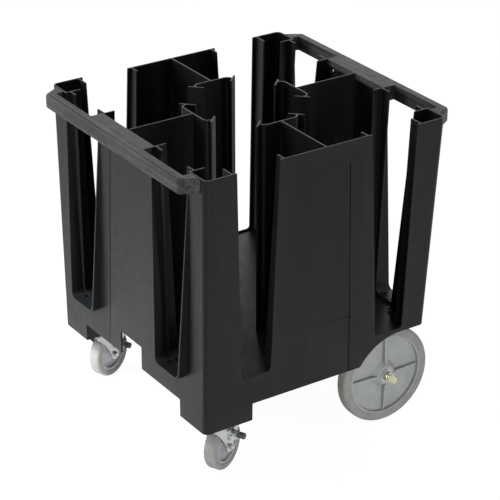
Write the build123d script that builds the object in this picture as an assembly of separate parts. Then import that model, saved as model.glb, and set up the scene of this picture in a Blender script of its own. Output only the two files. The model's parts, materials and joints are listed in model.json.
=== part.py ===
from build123d import *
import os
from math import cos, radians, sin

# Plate dispenser cart: an open moulded body with four plate columns round a middle shaft,
# two large wheels on a through axle at one end, two braked swivel casters at the other and
# a grab handle along each end.
# Frame: +Z up, origin on the floor under the middle, +X towards the large wheels (the
# wheel end), -X towards the casters (the caster end), -Y the right side, +Y the left side.
# All sizes in millimetres.

# ---- moulded body: overall sizes
BODY_TOP = 806.0                # open top edge above the floor
BODY_LENGTH = 668.0             # skin to skin along X at the top
BODY_WIDTH = 696.0              # skin to skin along Y at the top, over the posts
WALL = 5.0                      # thickness of every moulded wall
CORNER_RADIUS = 15.0            # upright outer corners
SIDE_LEAN = 0.022               # how far both sides draw in, per mm down
WHEEL_END_LEAN = 0.058          # how far the wheel end draws in, per mm down
CASTER_END_LEAN = 0.002         # how far the caster end draws in, per mm down
PANEL_SET = 10.0                # side panels stand upright this far inside the posts' top
MIN_RADIUS = 1.0                # smallest corner left on an inner outline
OVERCUT = 20.0                  # how far a cutting solid runs past what it cuts
PAST_WALLS = 74.0               # cutting solids run this far past the walls
FAR_OUT = max(BODY_LENGTH, BODY_WIDTH) / 2 + PAST_WALLS
TOLERANCE = 0.1                 # for picking edges by where they are
HANDS_AND_WAYS = ((1, -1), (-1, -1), (1, 1), (-1, 1))   # the four slots of a pair of walls

# ---- deck and skirt
DECK_TOP = 268.0                # floor of the plate columns
DECK_THICKNESS = 6.0
SILL = 273.0                    # lower edge of the slots
SKIRT_BOTTOM = 198.0
NOTCH_HALF_WIDTH = 48.0         # gap in the skirt between the casters
NOTCH_TOP = 258.0

# ---- slots in the walls (distances from the middle line of each face)
SIDE_SLOT_TOP = (128.0, 250.0)
SIDE_SLOT_SILL = (152.0, 232.0)
SIDE_SLOT_RADIUS = 8.0
END_SLOT_TOP = (119.0, 277.0)
END_SLOT_SILL = (151.0, 250.0)
END_SLOT_RADIUS = 16.0
LIP_TOP = (147.0, 252.0)        # recessed lip inside each end slot
LIP_SILL = (157.0, 245.0)
LIP_RISE = 4.0                  # lip above the sill
LIP_INSET = 12.0                # lip behind the skin
RIM_THICKNESS = 5.25            # proud rim round each end slot
CASTER_RIM_FLARE = 0.040        # how far the caster end rim stands out, per mm down
SIDE_FLANGE_SET = 9.0           # side flange behind the edge of its slot
SIDE_FLANGE_REACH = 40.0        # side flange, inwards from the skin
END_FLANGE_REACH = 42.0         # end flange, inwards from the skin

# ---- dividers between the plate columns
SIDE_SHAFT_Y = 152.0            # wall of the middle shaft, side dividers
SIDE_SHAFT_FLAT = 36.0          # half of its straight stretch
SIDE_JAMB = (53.0, 137.0)
END_SHAFT_X = 147.0             # wall of the middle shaft, end dividers
END_SHAFT_FLAT = 42.0
END_JAMB = (127.5, 55.5)
JAMB_HALF_LENGTH = 20.0
JAMB_ANGLE = 45.0               # plan angle of each jamb plate
SPLIT_X = 190.0                 # where posts and dividers meet under the side slots
SPLIT_Y = 200.0                 # where posts and dividers meet under the end slots

# ---- handles
HANDLE_STANDOFF = 43.0          # outer face of each handle past the skin at the top
HANDLE_REACH = BODY_LENGTH / 2 + HANDLE_STANDOFF
HANDLE_HEIGHT = 38.0
HANDLE_END_INSET = 20.0         # handle end at the skin, short of the side skin
HANDLE_END_TAPER = 27.0         # handle end at its outer face, short of that at the skin
HANDLE_HALF_LENGTH = BODY_WIDTH / 2 - HANDLE_END_INSET
HANDLE_BAR_WIDTH = 23.0
HANDLE_ROUND = 7.0              # rounded long edges of the bar
HANDLE_END_ROUND = 10.0         # rounded ends in plan
HANDLE_FOOT = 40.0              # length of each end foot along Y
HANDLE_SADDLE_HALF = END_SLOT_TOP[0]    # the middle saddle lies between the end slots
SADDLE_THICKNESS = 18.0         # saddle above the cut top of the divider
SADDLE_LAP = 12.0               # saddle over and behind the skin
SCREW_RADIUS = 2.5
SCREW_HEAD_RADIUS = 5.5
SCREW_HEAD_HEIGHT = 3.0
SCREW_HEAD_ROUND = 1.2
SCREW_HOLE_GAP = 0.3
SCREW_GRIP = 16.0               # screw length in the handle
SCREW_SADDLE_INSET = 24.0       # saddle screws in from the end of the saddle
SCREW_FOOT_INSET = 24.0         # foot screws in from the end of the handle
SCREW_DROP = 28.0               # screw line below the top
SEAT_GAP = 0.3                  # clearance under a head on a leaning wall

# ---- large wheels and axle
WHEEL_RADIUS = 127.0
WHEEL_WIDTH = 34.0
WHEEL_SETBACK = 116.0           # axle in from the wheel end skin at the top
WHEEL_X = BODY_LENGTH / 2 - WHEEL_SETBACK
WHEEL_INSET = 49.0              # outer face of the tyre in from the side skin at the top
WHEEL_OUTER_Y = BODY_WIDTH / 2 - WHEEL_INSET
TYRE_DEPTH = 22.0               # tyre from tread to hub
TYRE_INNER_RADIUS = WHEEL_RADIUS - TYRE_DEPTH
TYRE_SHOULDER = 8.0
RIM_DEPTH = 4.5                 # rim of the hub under the tyre
RIM_WIDTH = 33.0
DISC_THICKNESS = 6.0
BOSS_BASE_RADIUS = 36.0
BOSS_TIP_RADIUS = 24.0
BOSS_LENGTH = 35.4
RIB_COUNT = 4
RIB_START = 28.0                # from the axle, buried in the boss
RIB_ROOT_WIDTH = 22.0
RIB_TIP_WIDTH = 12.0
RIB_SPAN = 22.0                 # overall thickness across both rib faces
AXLE_RADIUS = 8.0
AXLE_STANDOUT = 38.0            # threaded end past the outer face of the tyre
AXLE_HALF_LENGTH = WHEEL_OUTER_Y + AXLE_STANDOUT
AXLE_CHAMFER = 1.5
BUSHING_WALL = 4.0
RUNNING_FIT = 0.05              # radial clearance of every turning bore
END_FLOAT = 0.3                 # side clearance of every turning wheel
WASHER_RADIUS = 17.0
WASHER_THICKNESS = 2.5
NUT_FLATS = 24.0
NUT_HEIGHT = 13.0
NUT_FACE_SHARE = 0.97           # round face of a hexagon, as a share of its flats
COLLAR_RADIUS = 10.5            # nylon collar of the lock nut
COLLAR_HEIGHT = 4.0
HANGER_INSET = 70.0             # inner face of the hanger in from the outer face of the tyre
HANGER_INNER_Y = WHEEL_OUTER_Y - HANGER_INSET
HANGER_THICKNESS = 20.0
HANGER_HALF_TOP = 42.0
HANGER_EYE = 25.0               # radius of the eye round the axle
SPACER_WALL = 3.0
ARCH_AHEAD = 11.0                # middle of the wheel arch past the axle, towards the wheel end
ARCH_BELOW = 6.0                # and below it
ARCH_CLEARANCE = 14.0           # arch radius over the wheel's
ARCH_X = WHEEL_X + ARCH_AHEAD
ARCH_Z = WHEEL_RADIUS - ARCH_BELOW
ARCH_RADIUS = WHEEL_RADIUS + ARCH_CLEARANCE

# ---- swivel casters (own frame: swivel axis at the origin, trailing towards +X)
CASTER_SETBACK = 64.0           # swivel axis in from the caster end skin at the top
CASTER_X = -BODY_LENGTH / 2 + CASTER_SETBACK
CASTER_INSET = 75.0             # swivel axis in from the side skin at the top
CASTER_Y = BODY_WIDTH / 2 - CASTER_INSET
RIGHT_HEADING = 26.0            # where each caster trails at rest, degrees from +X
LEFT_HEADING = 22.0
TRAIL = 36.0
CASTER_RADIUS = 62.5
CASTER_WIDTH = 32.0
CASTER_TYRE_INNER = 47.0
CASTER_SHOULDER = 5.0
CASTER_RIM_DEPTH = 7.0
CASTER_RIM_WIDTH = 28.0
CASTER_DISC = 10.0
CASTER_BOSS_BASE = 16.0
CASTER_BOSS_TIP = 14.0
PLATE_LENGTH = 104.0
PLATE_WIDTH = 80.0
PLATE_THICKNESS = 3.5
PLATE_CORNER = 10.0
BOLT_X = 40.0
BOLT_Y = 28.0
BOLT_RADIUS = 4.0
BOLT_HOLE_GAP = 0.3
BOLT_FLATS = 13.0
BOLT_HEAD_HEIGHT = 5.0
BOLT_NUT_HEIGHT = 6.5
BOLT_END = 3.0                  # thread past the nut
RACE_RADIUS = 30.0
RACE_DEPTH = 4.4                # pressed cup of the plate
RACE_SKIRT = 1.8                # wall of the dust skirt round the balls
BALL_RADIUS = 2.85
BALL_PITCH = 22.0
BALL_COUNT = 18
BALL_GAP = 0.1
KINGPIN_RADIUS = 6.0
KINGPIN_HEAD_RADIUS = 11.0
KINGPIN_HEAD = 3.5
FORK_SHEET = 3.0
FORK_INSIDE = 40.0              # between the two side plates
FORK_FRONT = -32.0              # leading edge of the crown
FORK_BACK = 52.0                # trailing edge of the crown
FORK_DROP = 8.0                 # straight edge under the crown, leading side
FORK_EYE = 15.0                 # radius round the axle bolt
FORK_HOLLOW = (-1.0, 36.5)      # point on the hollow leading edge, up from the wheel axis
CROWN_CLEARANCE = 11.0          # between the crown and the tyre
FORK_BEND = 2.5
SLEEVE_WALL = 2.5

# ---- legs over the casters
LEG_LENGTH = 133.5              # along X, from the caster end
LEG_WIDTH = 126.0               # inner face in from the side skin at the top
LEG_INNER_Y = BODY_WIDTH / 2 - LEG_WIDTH
LEG_FLOOR = 8.0                 # thickness of the plate that takes the bolts
CROWN_TOP = 2 * CASTER_RADIUS + CROWN_CLEARANCE + FORK_SHEET
CASTER_HEAD = RACE_DEPTH + 2 * (BALL_RADIUS + BALL_GAP) + PLATE_THICKNESS
LEG_BOTTOM = CROWN_TOP + CASTER_HEAD    # face that the caster plates bolt to

# ---- caster brakes, placed as (trailing, up) from the wheel axis
BRAKE_PIVOT = (2.0, 25.5)       # pivot rivet
BRAKE_TRAVEL = 15.0             # degrees from released to applied
BRAKE_SHEET = 3.0
PIVOT_RADIUS = 4.0
PIVOT_HEAD_RADIUS = 7.0
PIVOT_HEAD = 2.0
PIVOT_INNER_RADIUS = 5.5        # closed end of the rivet, inside the fork
PIVOT_INNER_HEAD = 1.25
PIVOT_EYE = 10.0                # lever round the pivot
PEDAL_AT = (42.0, 9.5)          # foot knob, released
PEDAL_RADIUS = 8.0
PEDAL_LENGTH = 13.0
RELEASE_AT = (5.0, 40.5)        # smaller knob that lets the brake off
RELEASE_RADIUS = 5.5
RELEASE_LENGTH = 8.0
KNOB_ROUND_SHARE = 1 / 3        # rounded end of each knob, as a share of its radius
SHOE_FROM = 30.0                # shoe on the tyre, degrees round the wheel
SHOE_TO = 52.0
SHOE_THICKNESS = 6.0
SHOE_HALF_WIDTH = 12.0
SHOE_GAP = 0.5                  # left between the applied shoe and the tyre
STRAP_THICKNESS = 3.0           # lever strap behind the shoe
STRAP_CLEAR_ARC = 12.0          # lever kept off the tyre this far past the shoe, degrees


def is_upright(edge):
    """True for an edge that runs mostly along Z."""
    return abs(edge.tangent_at(0.5).Z) > cos(radians(45))


def end_planes(height, inset=0.0):
    """X of the caster end and of the wheel end at one height, moved in by inset."""
    drop = BODY_TOP - height
    caster_end = -BODY_LENGTH / 2 + CASTER_END_LEAN * drop + inset
    wheel_end = BODY_LENGTH / 2 - WHEEL_END_LEAN * drop - inset
    return caster_end, wheel_end


def side_plane(height, inset=0.0):
    """Distance of both sides from the middle at one height, moved in by inset."""
    return BODY_WIDTH / 2 - SIDE_LEAN * (BODY_TOP - height) - inset


def crossed(low, high, ends, side):
    """Solid between two heights, between leaning end planes and leaning side planes."""
    (low_back, low_front), (high_back, high_front) = ends(low), ends(high)
    low_side, high_side = side(low), side(high)
    along = Polygon((low_back, low), (low_front, low), (high_front, high), (high_back, high),
                    align=None)
    across = Polygon((-low_side, low), (low_side, low), (high_side, high), (-high_side, high),
                     align=None)
    lengthways = extrude(Plane.XZ.offset(-FAR_OUT) * along, 2 * FAR_OUT)
    return lengthways & extrude(Plane.YZ.offset(-FAR_OUT) * across, 2 * FAR_OUT)


def envelope(low, high, inset=0.0):
    """Solid inside the leaning body between two heights, its upright corners rounded."""
    block = crossed(low, high, lambda z: end_planes(z, inset), lambda z: side_plane(z, inset))
    radius = CORNER_RADIUS - inset
    if radius < MIN_RADIUS:
        return block
    return fillet([edge for edge in block.edges() if is_upright(edge)], radius)


def wall_ring(low, high, outer, inner):
    """Upright ring between two insets of the body."""
    return envelope(low, high, outer) - envelope(low - OVERCUT, high + OVERCUT, inner)


def rim_planes(height):
    """X of the planes in which the proud rims of the ends stop."""
    return -BODY_LENGTH / 2 - CASTER_RIM_FLARE * (BODY_TOP - height), BODY_LENGTH / 2


def rim_zone(low, high):
    """Space from the inner skin out to the rim planes."""
    block = crossed(low, high, rim_planes, lambda z: BODY_WIDTH / 2)
    return block - envelope(low - OVERCUT, high + OVERCUT, WALL)


def slot_face(top, sill, floor, grow, radius, hand):
    """Slot outline as (across, height), grown on its sides and floor, open past the top."""
    high = BODY_TOP + OVERCUT
    rise = (high - floor) / (BODY_TOP - floor)
    inner_high = sill[0] + (top[0] - sill[0]) * rise - grow
    outer_high = sill[1] + (top[1] - sill[1]) * rise + grow
    corners = [
        (hand * (sill[0] - grow), floor - grow),
        (hand * (sill[1] + grow), floor - grow),
        (hand * outer_high, high),
        (hand * inner_high, high),
    ]
    face = Polygon(*corners[::hand], align=None)
    return fillet(face.vertices().sort_by(Axis.Y)[:2], radius + grow)


def through_wall(face, at_end, way):
    """Run an (across, height) face out through a side or an end wall; way is -1 or +1."""
    near = END_SHAFT_X
    if at_end:
        start = near if way > 0 else -FAR_OUT
        return extrude(Plane.YZ.offset(start) * face, FAR_OUT - near)
    start = near if way < 0 else -FAR_OUT
    return extrude(Plane.XZ.offset(start) * face, FAR_OUT - near)


def slot_bands(at_end, inner_grow, outer_grow):
    """Bands between two grown outlines of the four side or end slots; None for no inner one."""
    top, sill = (END_SLOT_TOP, END_SLOT_SILL) if at_end else (SIDE_SLOT_TOP, SIDE_SLOT_SILL)
    radius = END_SLOT_RADIUS if at_end else SIDE_SLOT_RADIUS
    bands = []
    for hand, way in HANDS_AND_WAYS:
        face = slot_face(top, sill, SILL, outer_grow, radius, hand)
        if inner_grow is not None:
            face -= slot_face(top, sill, SILL, inner_grow, radius, hand)
        bands.append(through_wall(face, at_end, way))
    return bands


def lip_bands():
    """Bands between the end slots and the inner edge of their recessed lips."""
    bands = []
    for hand, way in HANDS_AND_WAYS:
        face = slot_face(END_SLOT_TOP, END_SLOT_SILL, SILL, WALL, END_SLOT_RADIUS, hand)
        face -= slot_face(LIP_TOP, LIP_SILL, SILL + LIP_RISE, 0.0, END_SLOT_RADIUS, hand)
        bands.append(through_wall(face, True, way))
    return bands


def slotted_wall(low, high):
    """Outer wall between two heights, with its slots, rims, flanges and lips."""
    moulding = wall_ring(low, high, 0.0, WALL)
    rims = rim_zone(low, high)
    side_depth = wall_ring(low, high, WALL, SIDE_FLANGE_REACH)
    end_depth = wall_ring(low, high, WALL, END_FLANGE_REACH)
    lip_depth = wall_ring(low, high, LIP_INSET, LIP_INSET + WALL)
    for at_end in (False, True):
        for cut in slot_bands(at_end, None, 0.0):
            moulding -= cut
    for band in slot_bands(True, 0.0, RIM_THICKNESS):
        moulding += band & rims
    if high > SILL:
        for band in slot_bands(False, SIDE_FLANGE_SET, SIDE_FLANGE_SET + WALL):
            moulding += band & side_depth
        for band in slot_bands(True, 0.0, WALL):
            moulding += band & end_depth
    for band in lip_bands():
        moulding += band & lip_depth
    return moulding


def base_tub():
    """Deck and skirt, with the wheel arches, the caster end notch and the slot sills."""
    skirt = wall_ring(SKIRT_BOTTOM, DECK_TOP, 0.0, WALL)
    arch = Pos(ARCH_X, 0, ARCH_Z) * Rot(90, 0, 0) * Cylinder(ARCH_RADIUS, 2 * FAR_OUT)
    arch_top = ARCH_Z + ARCH_RADIUS
    behind = Pos(ARCH_X + FAR_OUT / 2, 0, arch_top / 2) * Box(FAR_OUT, 2 * FAR_OUT, arch_top)
    notch = Pos(-FAR_OUT, 0, NOTCH_TOP / 2) * Box(FAR_OUT, 2 * NOTCH_HALF_WIDTH, NOTCH_TOP)
    deck = envelope(DECK_TOP - DECK_THICKNESS, DECK_TOP, WALL)
    rim_root = rim_zone(SILL - RIM_THICKNESS, DECK_TOP)
    tub = skirt - arch - behind - notch + deck
    for band in slot_bands(True, 0.0, RIM_THICKNESS):
        tub += band & rim_root
    return tub + slotted_wall(DECK_TOP, SILL)


def caster_leg(side):
    """Hollow block that carries one caster plate under the deck; side is -1 right, +1 left."""
    back = -BODY_LENGTH / 2 + LEG_LENGTH
    long = FAR_OUT + back
    deep = FAR_OUT - LEG_INNER_Y
    deck_under = DECK_TOP - DECK_THICKNESS

    def column(wall, low, high):
        centre = ((back - wall - FAR_OUT) / 2, side * (LEG_INNER_Y + wall + FAR_OUT) / 2)
        return Pos(*centre, (low + high) / 2) * Box(long - wall, deep - wall, high - low)

    outside = envelope(LEG_BOTTOM, SKIRT_BOTTOM) + envelope(SKIRT_BOTTOM, deck_under, WALL)
    inside = envelope(LEG_BOTTOM + LEG_FLOOR, deck_under + OVERCUT, WALL)
    leg = column(0.0, LEG_BOTTOM, deck_under) & outside
    leg -= column(WALL, LEG_BOTTOM + LEG_FLOOR, deck_under + OVERCUT) & inside
    hole = Cylinder(BOLT_RADIUS + BOLT_HOLE_GAP, 2 * OVERCUT)
    for x, y in bolt_places():
        leg -= Pos(CASTER_X + x, side * CASTER_Y + y, LEG_BOTTOM) * hole
    return leg


def corner_post(upper, x_side, y_side):
    """One corner post, cut out of the slotted wall."""
    wide = FAR_OUT - SPLIT_X
    deep = FAR_OUT - SPLIT_Y
    at = (x_side * (SPLIT_X + wide / 2), y_side * (SPLIT_Y + deep / 2))
    return upper & Pos(*at, BODY_TOP / 2) * Box(wide, deep, BODY_TOP)


def shaft_plan(shaft, flat, jamb, along_x):
    """Plan of one divider inside the body: its web, shaft wall and two jambs, facing +X."""
    straight = Line((shaft, -flat), (shaft, flat))
    web = Line((shaft, 0), (FAR_OUT, 0))
    plan = trace(straight, line_width=WALL) + trace(web, line_width=WALL)
    reach_x = JAMB_HALF_LENGTH * cos(radians(JAMB_ANGLE))
    reach_y = JAMB_HALF_LENGTH * sin(radians(JAMB_ANGLE))
    for side in (-1, 1):
        at = (jamb[0], side * jamb[1])
        bend = TangentArc((shaft, side * flat), at, tangent=(0, side))
        plate = Line((at[0] - reach_x, at[1] - side * reach_y),
                     (at[0] + reach_x, at[1] + side * reach_y))
        plan += trace(bend, line_width=WALL) + trace(plate, line_width=WALL)
    return plan if along_x else Rot(0, 0, 90) * plan


def divider_inside(plan):
    """Upright walls of one divider, from the deck to the top, inside the skin."""
    return extrude(Pos(0, 0, DECK_TOP) * plan, BODY_TOP - DECK_TOP) & envelope(
        DECK_TOP, BODY_TOP, WALL)


def side_divider(upper, side):
    """Divider with the upright panel of one side; side is -1 right, +1 left."""
    skin = BODY_WIDTH / 2 - PANEL_SET
    deep = skin - SPLIT_Y
    zone = Pos(0, side * (SPLIT_Y + deep / 2), BODY_TOP / 2) * Box(2 * SPLIT_X, deep, BODY_TOP)
    panel_at = Pos(0, side * (skin - WALL / 2), (SILL + BODY_TOP) / 2)
    panel = panel_at * Box(2 * SPLIT_X, WALL, BODY_TOP - SILL) & envelope(SILL, BODY_TOP)
    for cut in slot_bands(False, None, 0.0):
        panel -= cut
    plan = shaft_plan(SIDE_SHAFT_Y, SIDE_SHAFT_FLAT, SIDE_JAMB[::-1], False)
    if side < 0:
        plan = Rot(0, 0, 180) * plan
    inside = divider_inside(plan) & Box(2 * SPLIT_X, 2 * skin, 2 * BODY_TOP)
    return (upper & zone) + panel + inside


def end_divider(upper, end):
    """Divider at one end; end is -1 caster end, +1 wheel end. Its top is cut for the saddle."""
    wide = FAR_OUT - SPLIT_X
    zone = Pos(end * (SPLIT_X + wide / 2), 0, BODY_TOP / 2) * Box(wide, 2 * SPLIT_Y, BODY_TOP)
    plan = shaft_plan(END_SHAFT_X, END_SHAFT_FLAT, END_JAMB, True)
    if end < 0:
        plan = Rot(0, 0, 180) * plan
    return (upper & zone) + divider_inside(plan) - saddle_block(end)


def saddle_block(end):
    """Space that the handle's middle saddle takes on top of the end divider."""
    near = BODY_LENGTH / 2 - SADDLE_LAP
    size = (FAR_OUT - near, 2 * HANDLE_SADDLE_HALF, SADDLE_THICKNESS)
    at = (end * (near + FAR_OUT) / 2, 0, BODY_TOP - SADDLE_THICKNESS / 2)
    return Pos(*at) * Box(*size)


def handle(end, upper):
    """Grab handle: a rounded bar with a foot at each end and a saddle over the divider."""
    bar_in = HANDLE_REACH - HANDLE_BAR_WIDTH
    near = BODY_LENGTH / 2 - SADDLE_LAP
    skin_x = BODY_LENGTH / 2
    outer_end = HANDLE_HALF_LENGTH - HANDLE_END_TAPER
    block = make_face(Polyline(
        (near, -HANDLE_HALF_LENGTH), (skin_x, -HANDLE_HALF_LENGTH), (HANDLE_REACH, -outer_end),
        (HANDLE_REACH, outer_end), (skin_x, HANDLE_HALF_LENGTH), (near, HANDLE_HALF_LENGTH),
        close=True))
    block = fillet(block.vertices().sort_by(Axis.X)[-2:], HANDLE_END_ROUND)
    bar = extrude(Pos(0, 0, BODY_TOP - HANDLE_HEIGHT) * block, HANDLE_HEIGHT)
    long_edges = [edge for edge in bar.edges()
                  if edge.geom_type == GeomType.CIRCLE or edge.center().X > HANDLE_REACH - TOLERANCE]
    bar = fillet([edge for edge in long_edges if not is_upright(edge)], HANDLE_ROUND)
    foot_inner = HANDLE_HALF_LENGTH - HANDLE_FOOT
    gap_length = foot_inner - HANDLE_SADDLE_HALF
    for side in (-1, 1):
        middle = side * (foot_inner + HANDLE_SADDLE_HALF) / 2
        gap = Box(bar_in, gap_length, 2 * HANDLE_HEIGHT)
        bar -= Pos(bar_in / 2, middle, BODY_TOP - HANDLE_HEIGHT / 2) * gap
    if end < 0:
        bar = mirror(bar, about=Plane.YZ)
    saddle = saddle_block(end)
    skin = envelope(BODY_TOP - 2 * HANDLE_HEIGHT, BODY_TOP + OVERCUT)
    bar -= skin - saddle
    bar -= upper - saddle
    for screw in screws(end, 0.0):
        bar -= screw
    return bar


def screws(end, gap):
    """The four screws of one handle, from inside the body, as a list; gap widens the shank."""
    height = BODY_TOP - SCREW_DROP
    lean = WHEEL_END_LEAN if end > 0 else CASTER_END_LEAN
    inner_skin = BODY_LENGTH / 2 - lean * SCREW_DROP - WALL - SEAT_GAP
    made = []
    foot_y = HANDLE_HALF_LENGTH - SCREW_FOOT_INSET
    saddle_y = HANDLE_SADDLE_HALF - SCREW_SADDLE_INSET
    for y in (-foot_y, -saddle_y, saddle_y, foot_y):
        length = WALL + SEAT_GAP + SCREW_GRIP
        shank = Pos(0, 0, length / 2) * Cylinder(SCREW_RADIUS + gap, length)
        head = Pos(0, 0, -SCREW_HEAD_HEIGHT / 2) * Cylinder(SCREW_HEAD_RADIUS, SCREW_HEAD_HEIGHT)
        head = fillet(head.edges().sort_by(Axis.Z)[:1], SCREW_HEAD_ROUND)
        screw = shank if gap else shank + head
        made.append(Pos(end * inner_skin, y, height) * Rot(0, 90 * end, 0) * screw)
    return made


def axle_hanger(side):
    """Moulded web under the deck with the eye that holds the axle."""
    top = DECK_TOP - DECK_THICKNESS
    web = make_face(Polyline(
        (WHEEL_X - HANGER_HALF_TOP, top), (WHEEL_X + HANGER_HALF_TOP, top),
        (WHEEL_X + HANGER_EYE, WHEEL_RADIUS), (WHEEL_X - HANGER_EYE, WHEEL_RADIUS), close=True))
    web += Pos(WHEEL_X, WHEEL_RADIUS) * Circle(HANGER_EYE)
    web -= Pos(WHEEL_X, WHEEL_RADIUS) * Circle(AXLE_RADIUS + RUNNING_FIT)
    solid = extrude(Plane.XZ.offset(HANGER_INNER_Y) * web, HANGER_THICKNESS)
    return solid if side < 0 else mirror(solid, about=Plane.XZ)


def on_axle(shape, side, distance):
    """Put a shape made along +Z on the axle, its origin at a distance, facing outwards."""
    turn = 90 if side < 0 else -90
    return Pos(WHEEL_X, side * distance, WHEEL_RADIUS) * Rot(turn, 0, 0) * shape


def tube(outer, inner, length):
    """Tube along +Z from the origin."""
    return extrude(Circle(outer) - Circle(inner), length)


def hexagon(flats, height):
    """Hexagon block along +Z from the origin, the corners of its far face turned off."""
    blank = extrude(RegularPolygon(flats / 2, 6, major_radius=False), height)
    turned = Cone(flats / 2 + height, flats / 2 * NUT_FACE_SHARE, height)
    return blank & Pos(0, 0, height / 2) * turned


def hex_nut(flats, bore, height):
    """Hexagon nut along +Z from the origin."""
    return hexagon(flats, height) - Cylinder(bore, 4 * height)


def hex_bolt(grip):
    """Bolt with its shank along +Z from the origin, through a grip and a nut; head below."""
    shank = extrude(Circle(BOLT_RADIUS), grip + BOLT_NUT_HEIGHT + BOLT_END)
    return shank + Rot(180, 0, 0) * hexagon(BOLT_FLATS, BOLT_HEAD_HEIGHT)


def tyre(radius, inner, width, shoulder):
    """Tyre with rounded shoulders, centred on the origin about Z."""
    band = Pos((radius + inner) / 2, 0) * Rectangle(radius - inner, width)
    band = fillet(band.vertices().sort_by(Axis.X)[-2:], shoulder)
    return revolve(Plane.XZ * band, Axis.Z)


def wheel_core(outer, rim_depth, rim_width, disc, boss_base, boss_tip, boss_length, bore):
    """Hub centred on the origin about Z: rim, recessed disc and tapered boss."""
    half = [
        (bore, 0), (bore, boss_length / 2), (boss_tip, boss_length / 2), (boss_base, disc / 2),
        (outer - rim_depth, disc / 2), (outer - rim_depth, rim_width / 2),
        (outer, rim_width / 2), (outer, 0),
    ]
    upper = revolve(Plane.XZ * make_face(Polyline(*half, close=True)), Axis.Z)
    return upper + mirror(upper, about=Plane.XY)


def large_hub():
    """Hub of a large wheel, with four tapered ribs between boss and rim."""
    outer = TYRE_INNER_RADIUS
    bore = AXLE_RADIUS + RUNNING_FIT + BUSHING_WALL
    hub = wheel_core(outer, RIM_DEPTH, RIM_WIDTH, DISC_THICKNESS, BOSS_BASE_RADIUS,
                     BOSS_TIP_RADIUS, BOSS_LENGTH, bore)
    end = outer - RIM_DEPTH / 2
    rib = make_face(Polyline(
        (RIB_START, -RIB_ROOT_WIDTH / 2), (end, -RIB_TIP_WIDTH / 2),
        (end, RIB_TIP_WIDTH / 2), (RIB_START, RIB_ROOT_WIDTH / 2), close=True))
    for index in range(RIB_COUNT):
        turned = Rot(0, 0, 360 / RIB_COUNT * index) * rib
        hub += extrude(Pos(0, 0, -RIB_SPAN / 2) * turned, RIB_SPAN)
    return hub


def wheel_set(side, name):
    """Everything that sits on one end of the axle, as (node, shape) pairs."""
    middle = WHEEL_OUTER_Y - WHEEL_WIDTH / 2
    half_boss = BOSS_LENGTH / 2
    bushing_radius = AXLE_RADIUS + RUNNING_FIT + BUSHING_WALL
    bushing = Pos(0, 0, -half_boss) * tube(bushing_radius, AXLE_RADIUS + RUNNING_FIT, BOSS_LENGTH)
    washer = tube(WASHER_RADIUS, AXLE_RADIUS + RUNNING_FIT, WASHER_THICKNESS)
    inner_washer = middle - half_boss - END_FLOAT - WASHER_THICKNESS
    outer_washer = middle + half_boss + END_FLOAT
    hanger_face = HANGER_INNER_Y + HANGER_THICKNESS
    spacer = tube(AXLE_RADIUS + SPACER_WALL, AXLE_RADIUS + RUNNING_FIT, inner_washer - hanger_face)
    nut_body = hex_nut(NUT_FLATS, AXLE_RADIUS, NUT_HEIGHT)
    nut = nut_body + Pos(0, 0, NUT_HEIGHT) * tube(COLLAR_RADIUS, AXLE_RADIUS, COLLAR_HEIGHT)
    wheel_tyre = tyre(WHEEL_RADIUS, TYRE_INNER_RADIUS, WHEEL_WIDTH, TYRE_SHOULDER)
    washers = [on_axle(washer, side, inner_washer), on_axle(washer, side, outer_washer)]
    return [
        (f"{name}_wheel_hub", on_axle(large_hub(), side, middle)),
        (f"{name}_wheel_tyre", on_axle(wheel_tyre, side, middle)),
        (f"{name}_wheel_bushing", on_axle(bushing, side, middle)),
        (f"{name}_axle_washers", Compound(children=washers)),
        (f"{name}_axle_nut", on_axle(nut, side, outer_washer + WASHER_THICKNESS)),
        (f"{name}_axle_spacer", on_axle(spacer, side, hanger_face)),
    ]


def axle():
    """Plain steel axle right across the cart, threaded ends as its full diameter."""
    rod = Pos(WHEEL_X, 0, WHEEL_RADIUS) * Rot(90, 0, 0) * Cylinder(AXLE_RADIUS, 2 * AXLE_HALF_LENGTH)
    ends = rod.edges().filter_by(GeomType.CIRCLE)
    return chamfer(ends, AXLE_CHAMFER)


def bolt_places():
    """Where the four bolts of a caster plate are, from its swivel axis."""
    return [(x, y) for x in (-BOLT_X, BOLT_X) for y in (-BOLT_Y, BOLT_Y)]


def caster_plate():
    """Top plate with bolt holes, and the pressed cup that covers the upper race."""
    plate = extrude(RectangleRounded(PLATE_LENGTH, PLATE_WIDTH, PLATE_CORNER), PLATE_THICKNESS)
    hole = Cylinder(BOLT_RADIUS + BOLT_HOLE_GAP, 2 * OVERCUT)
    for x, y in bolt_places():
        plate -= Pos(x, y) * hole
    cup = Pos(0, 0, -RACE_DEPTH) * tube(RACE_RADIUS, KINGPIN_RADIUS, RACE_DEPTH)
    skirt_depth = RACE_DEPTH + 2 * BALL_RADIUS
    skirt = Pos(0, 0, -skirt_depth) * tube(RACE_RADIUS, RACE_RADIUS - RACE_SKIRT, skirt_depth)
    plate += cup + skirt
    plate -= Cylinder(KINGPIN_RADIUS, 2 * OVERCUT)
    return Pos(0, 0, LEG_BOTTOM - PLATE_THICKNESS) * plate


def from_axis(place):
    """(x, z) of a place given as (trailing, up) from the wheel axis."""
    return TRAIL + place[0], CASTER_RADIUS + place[1]


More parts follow.
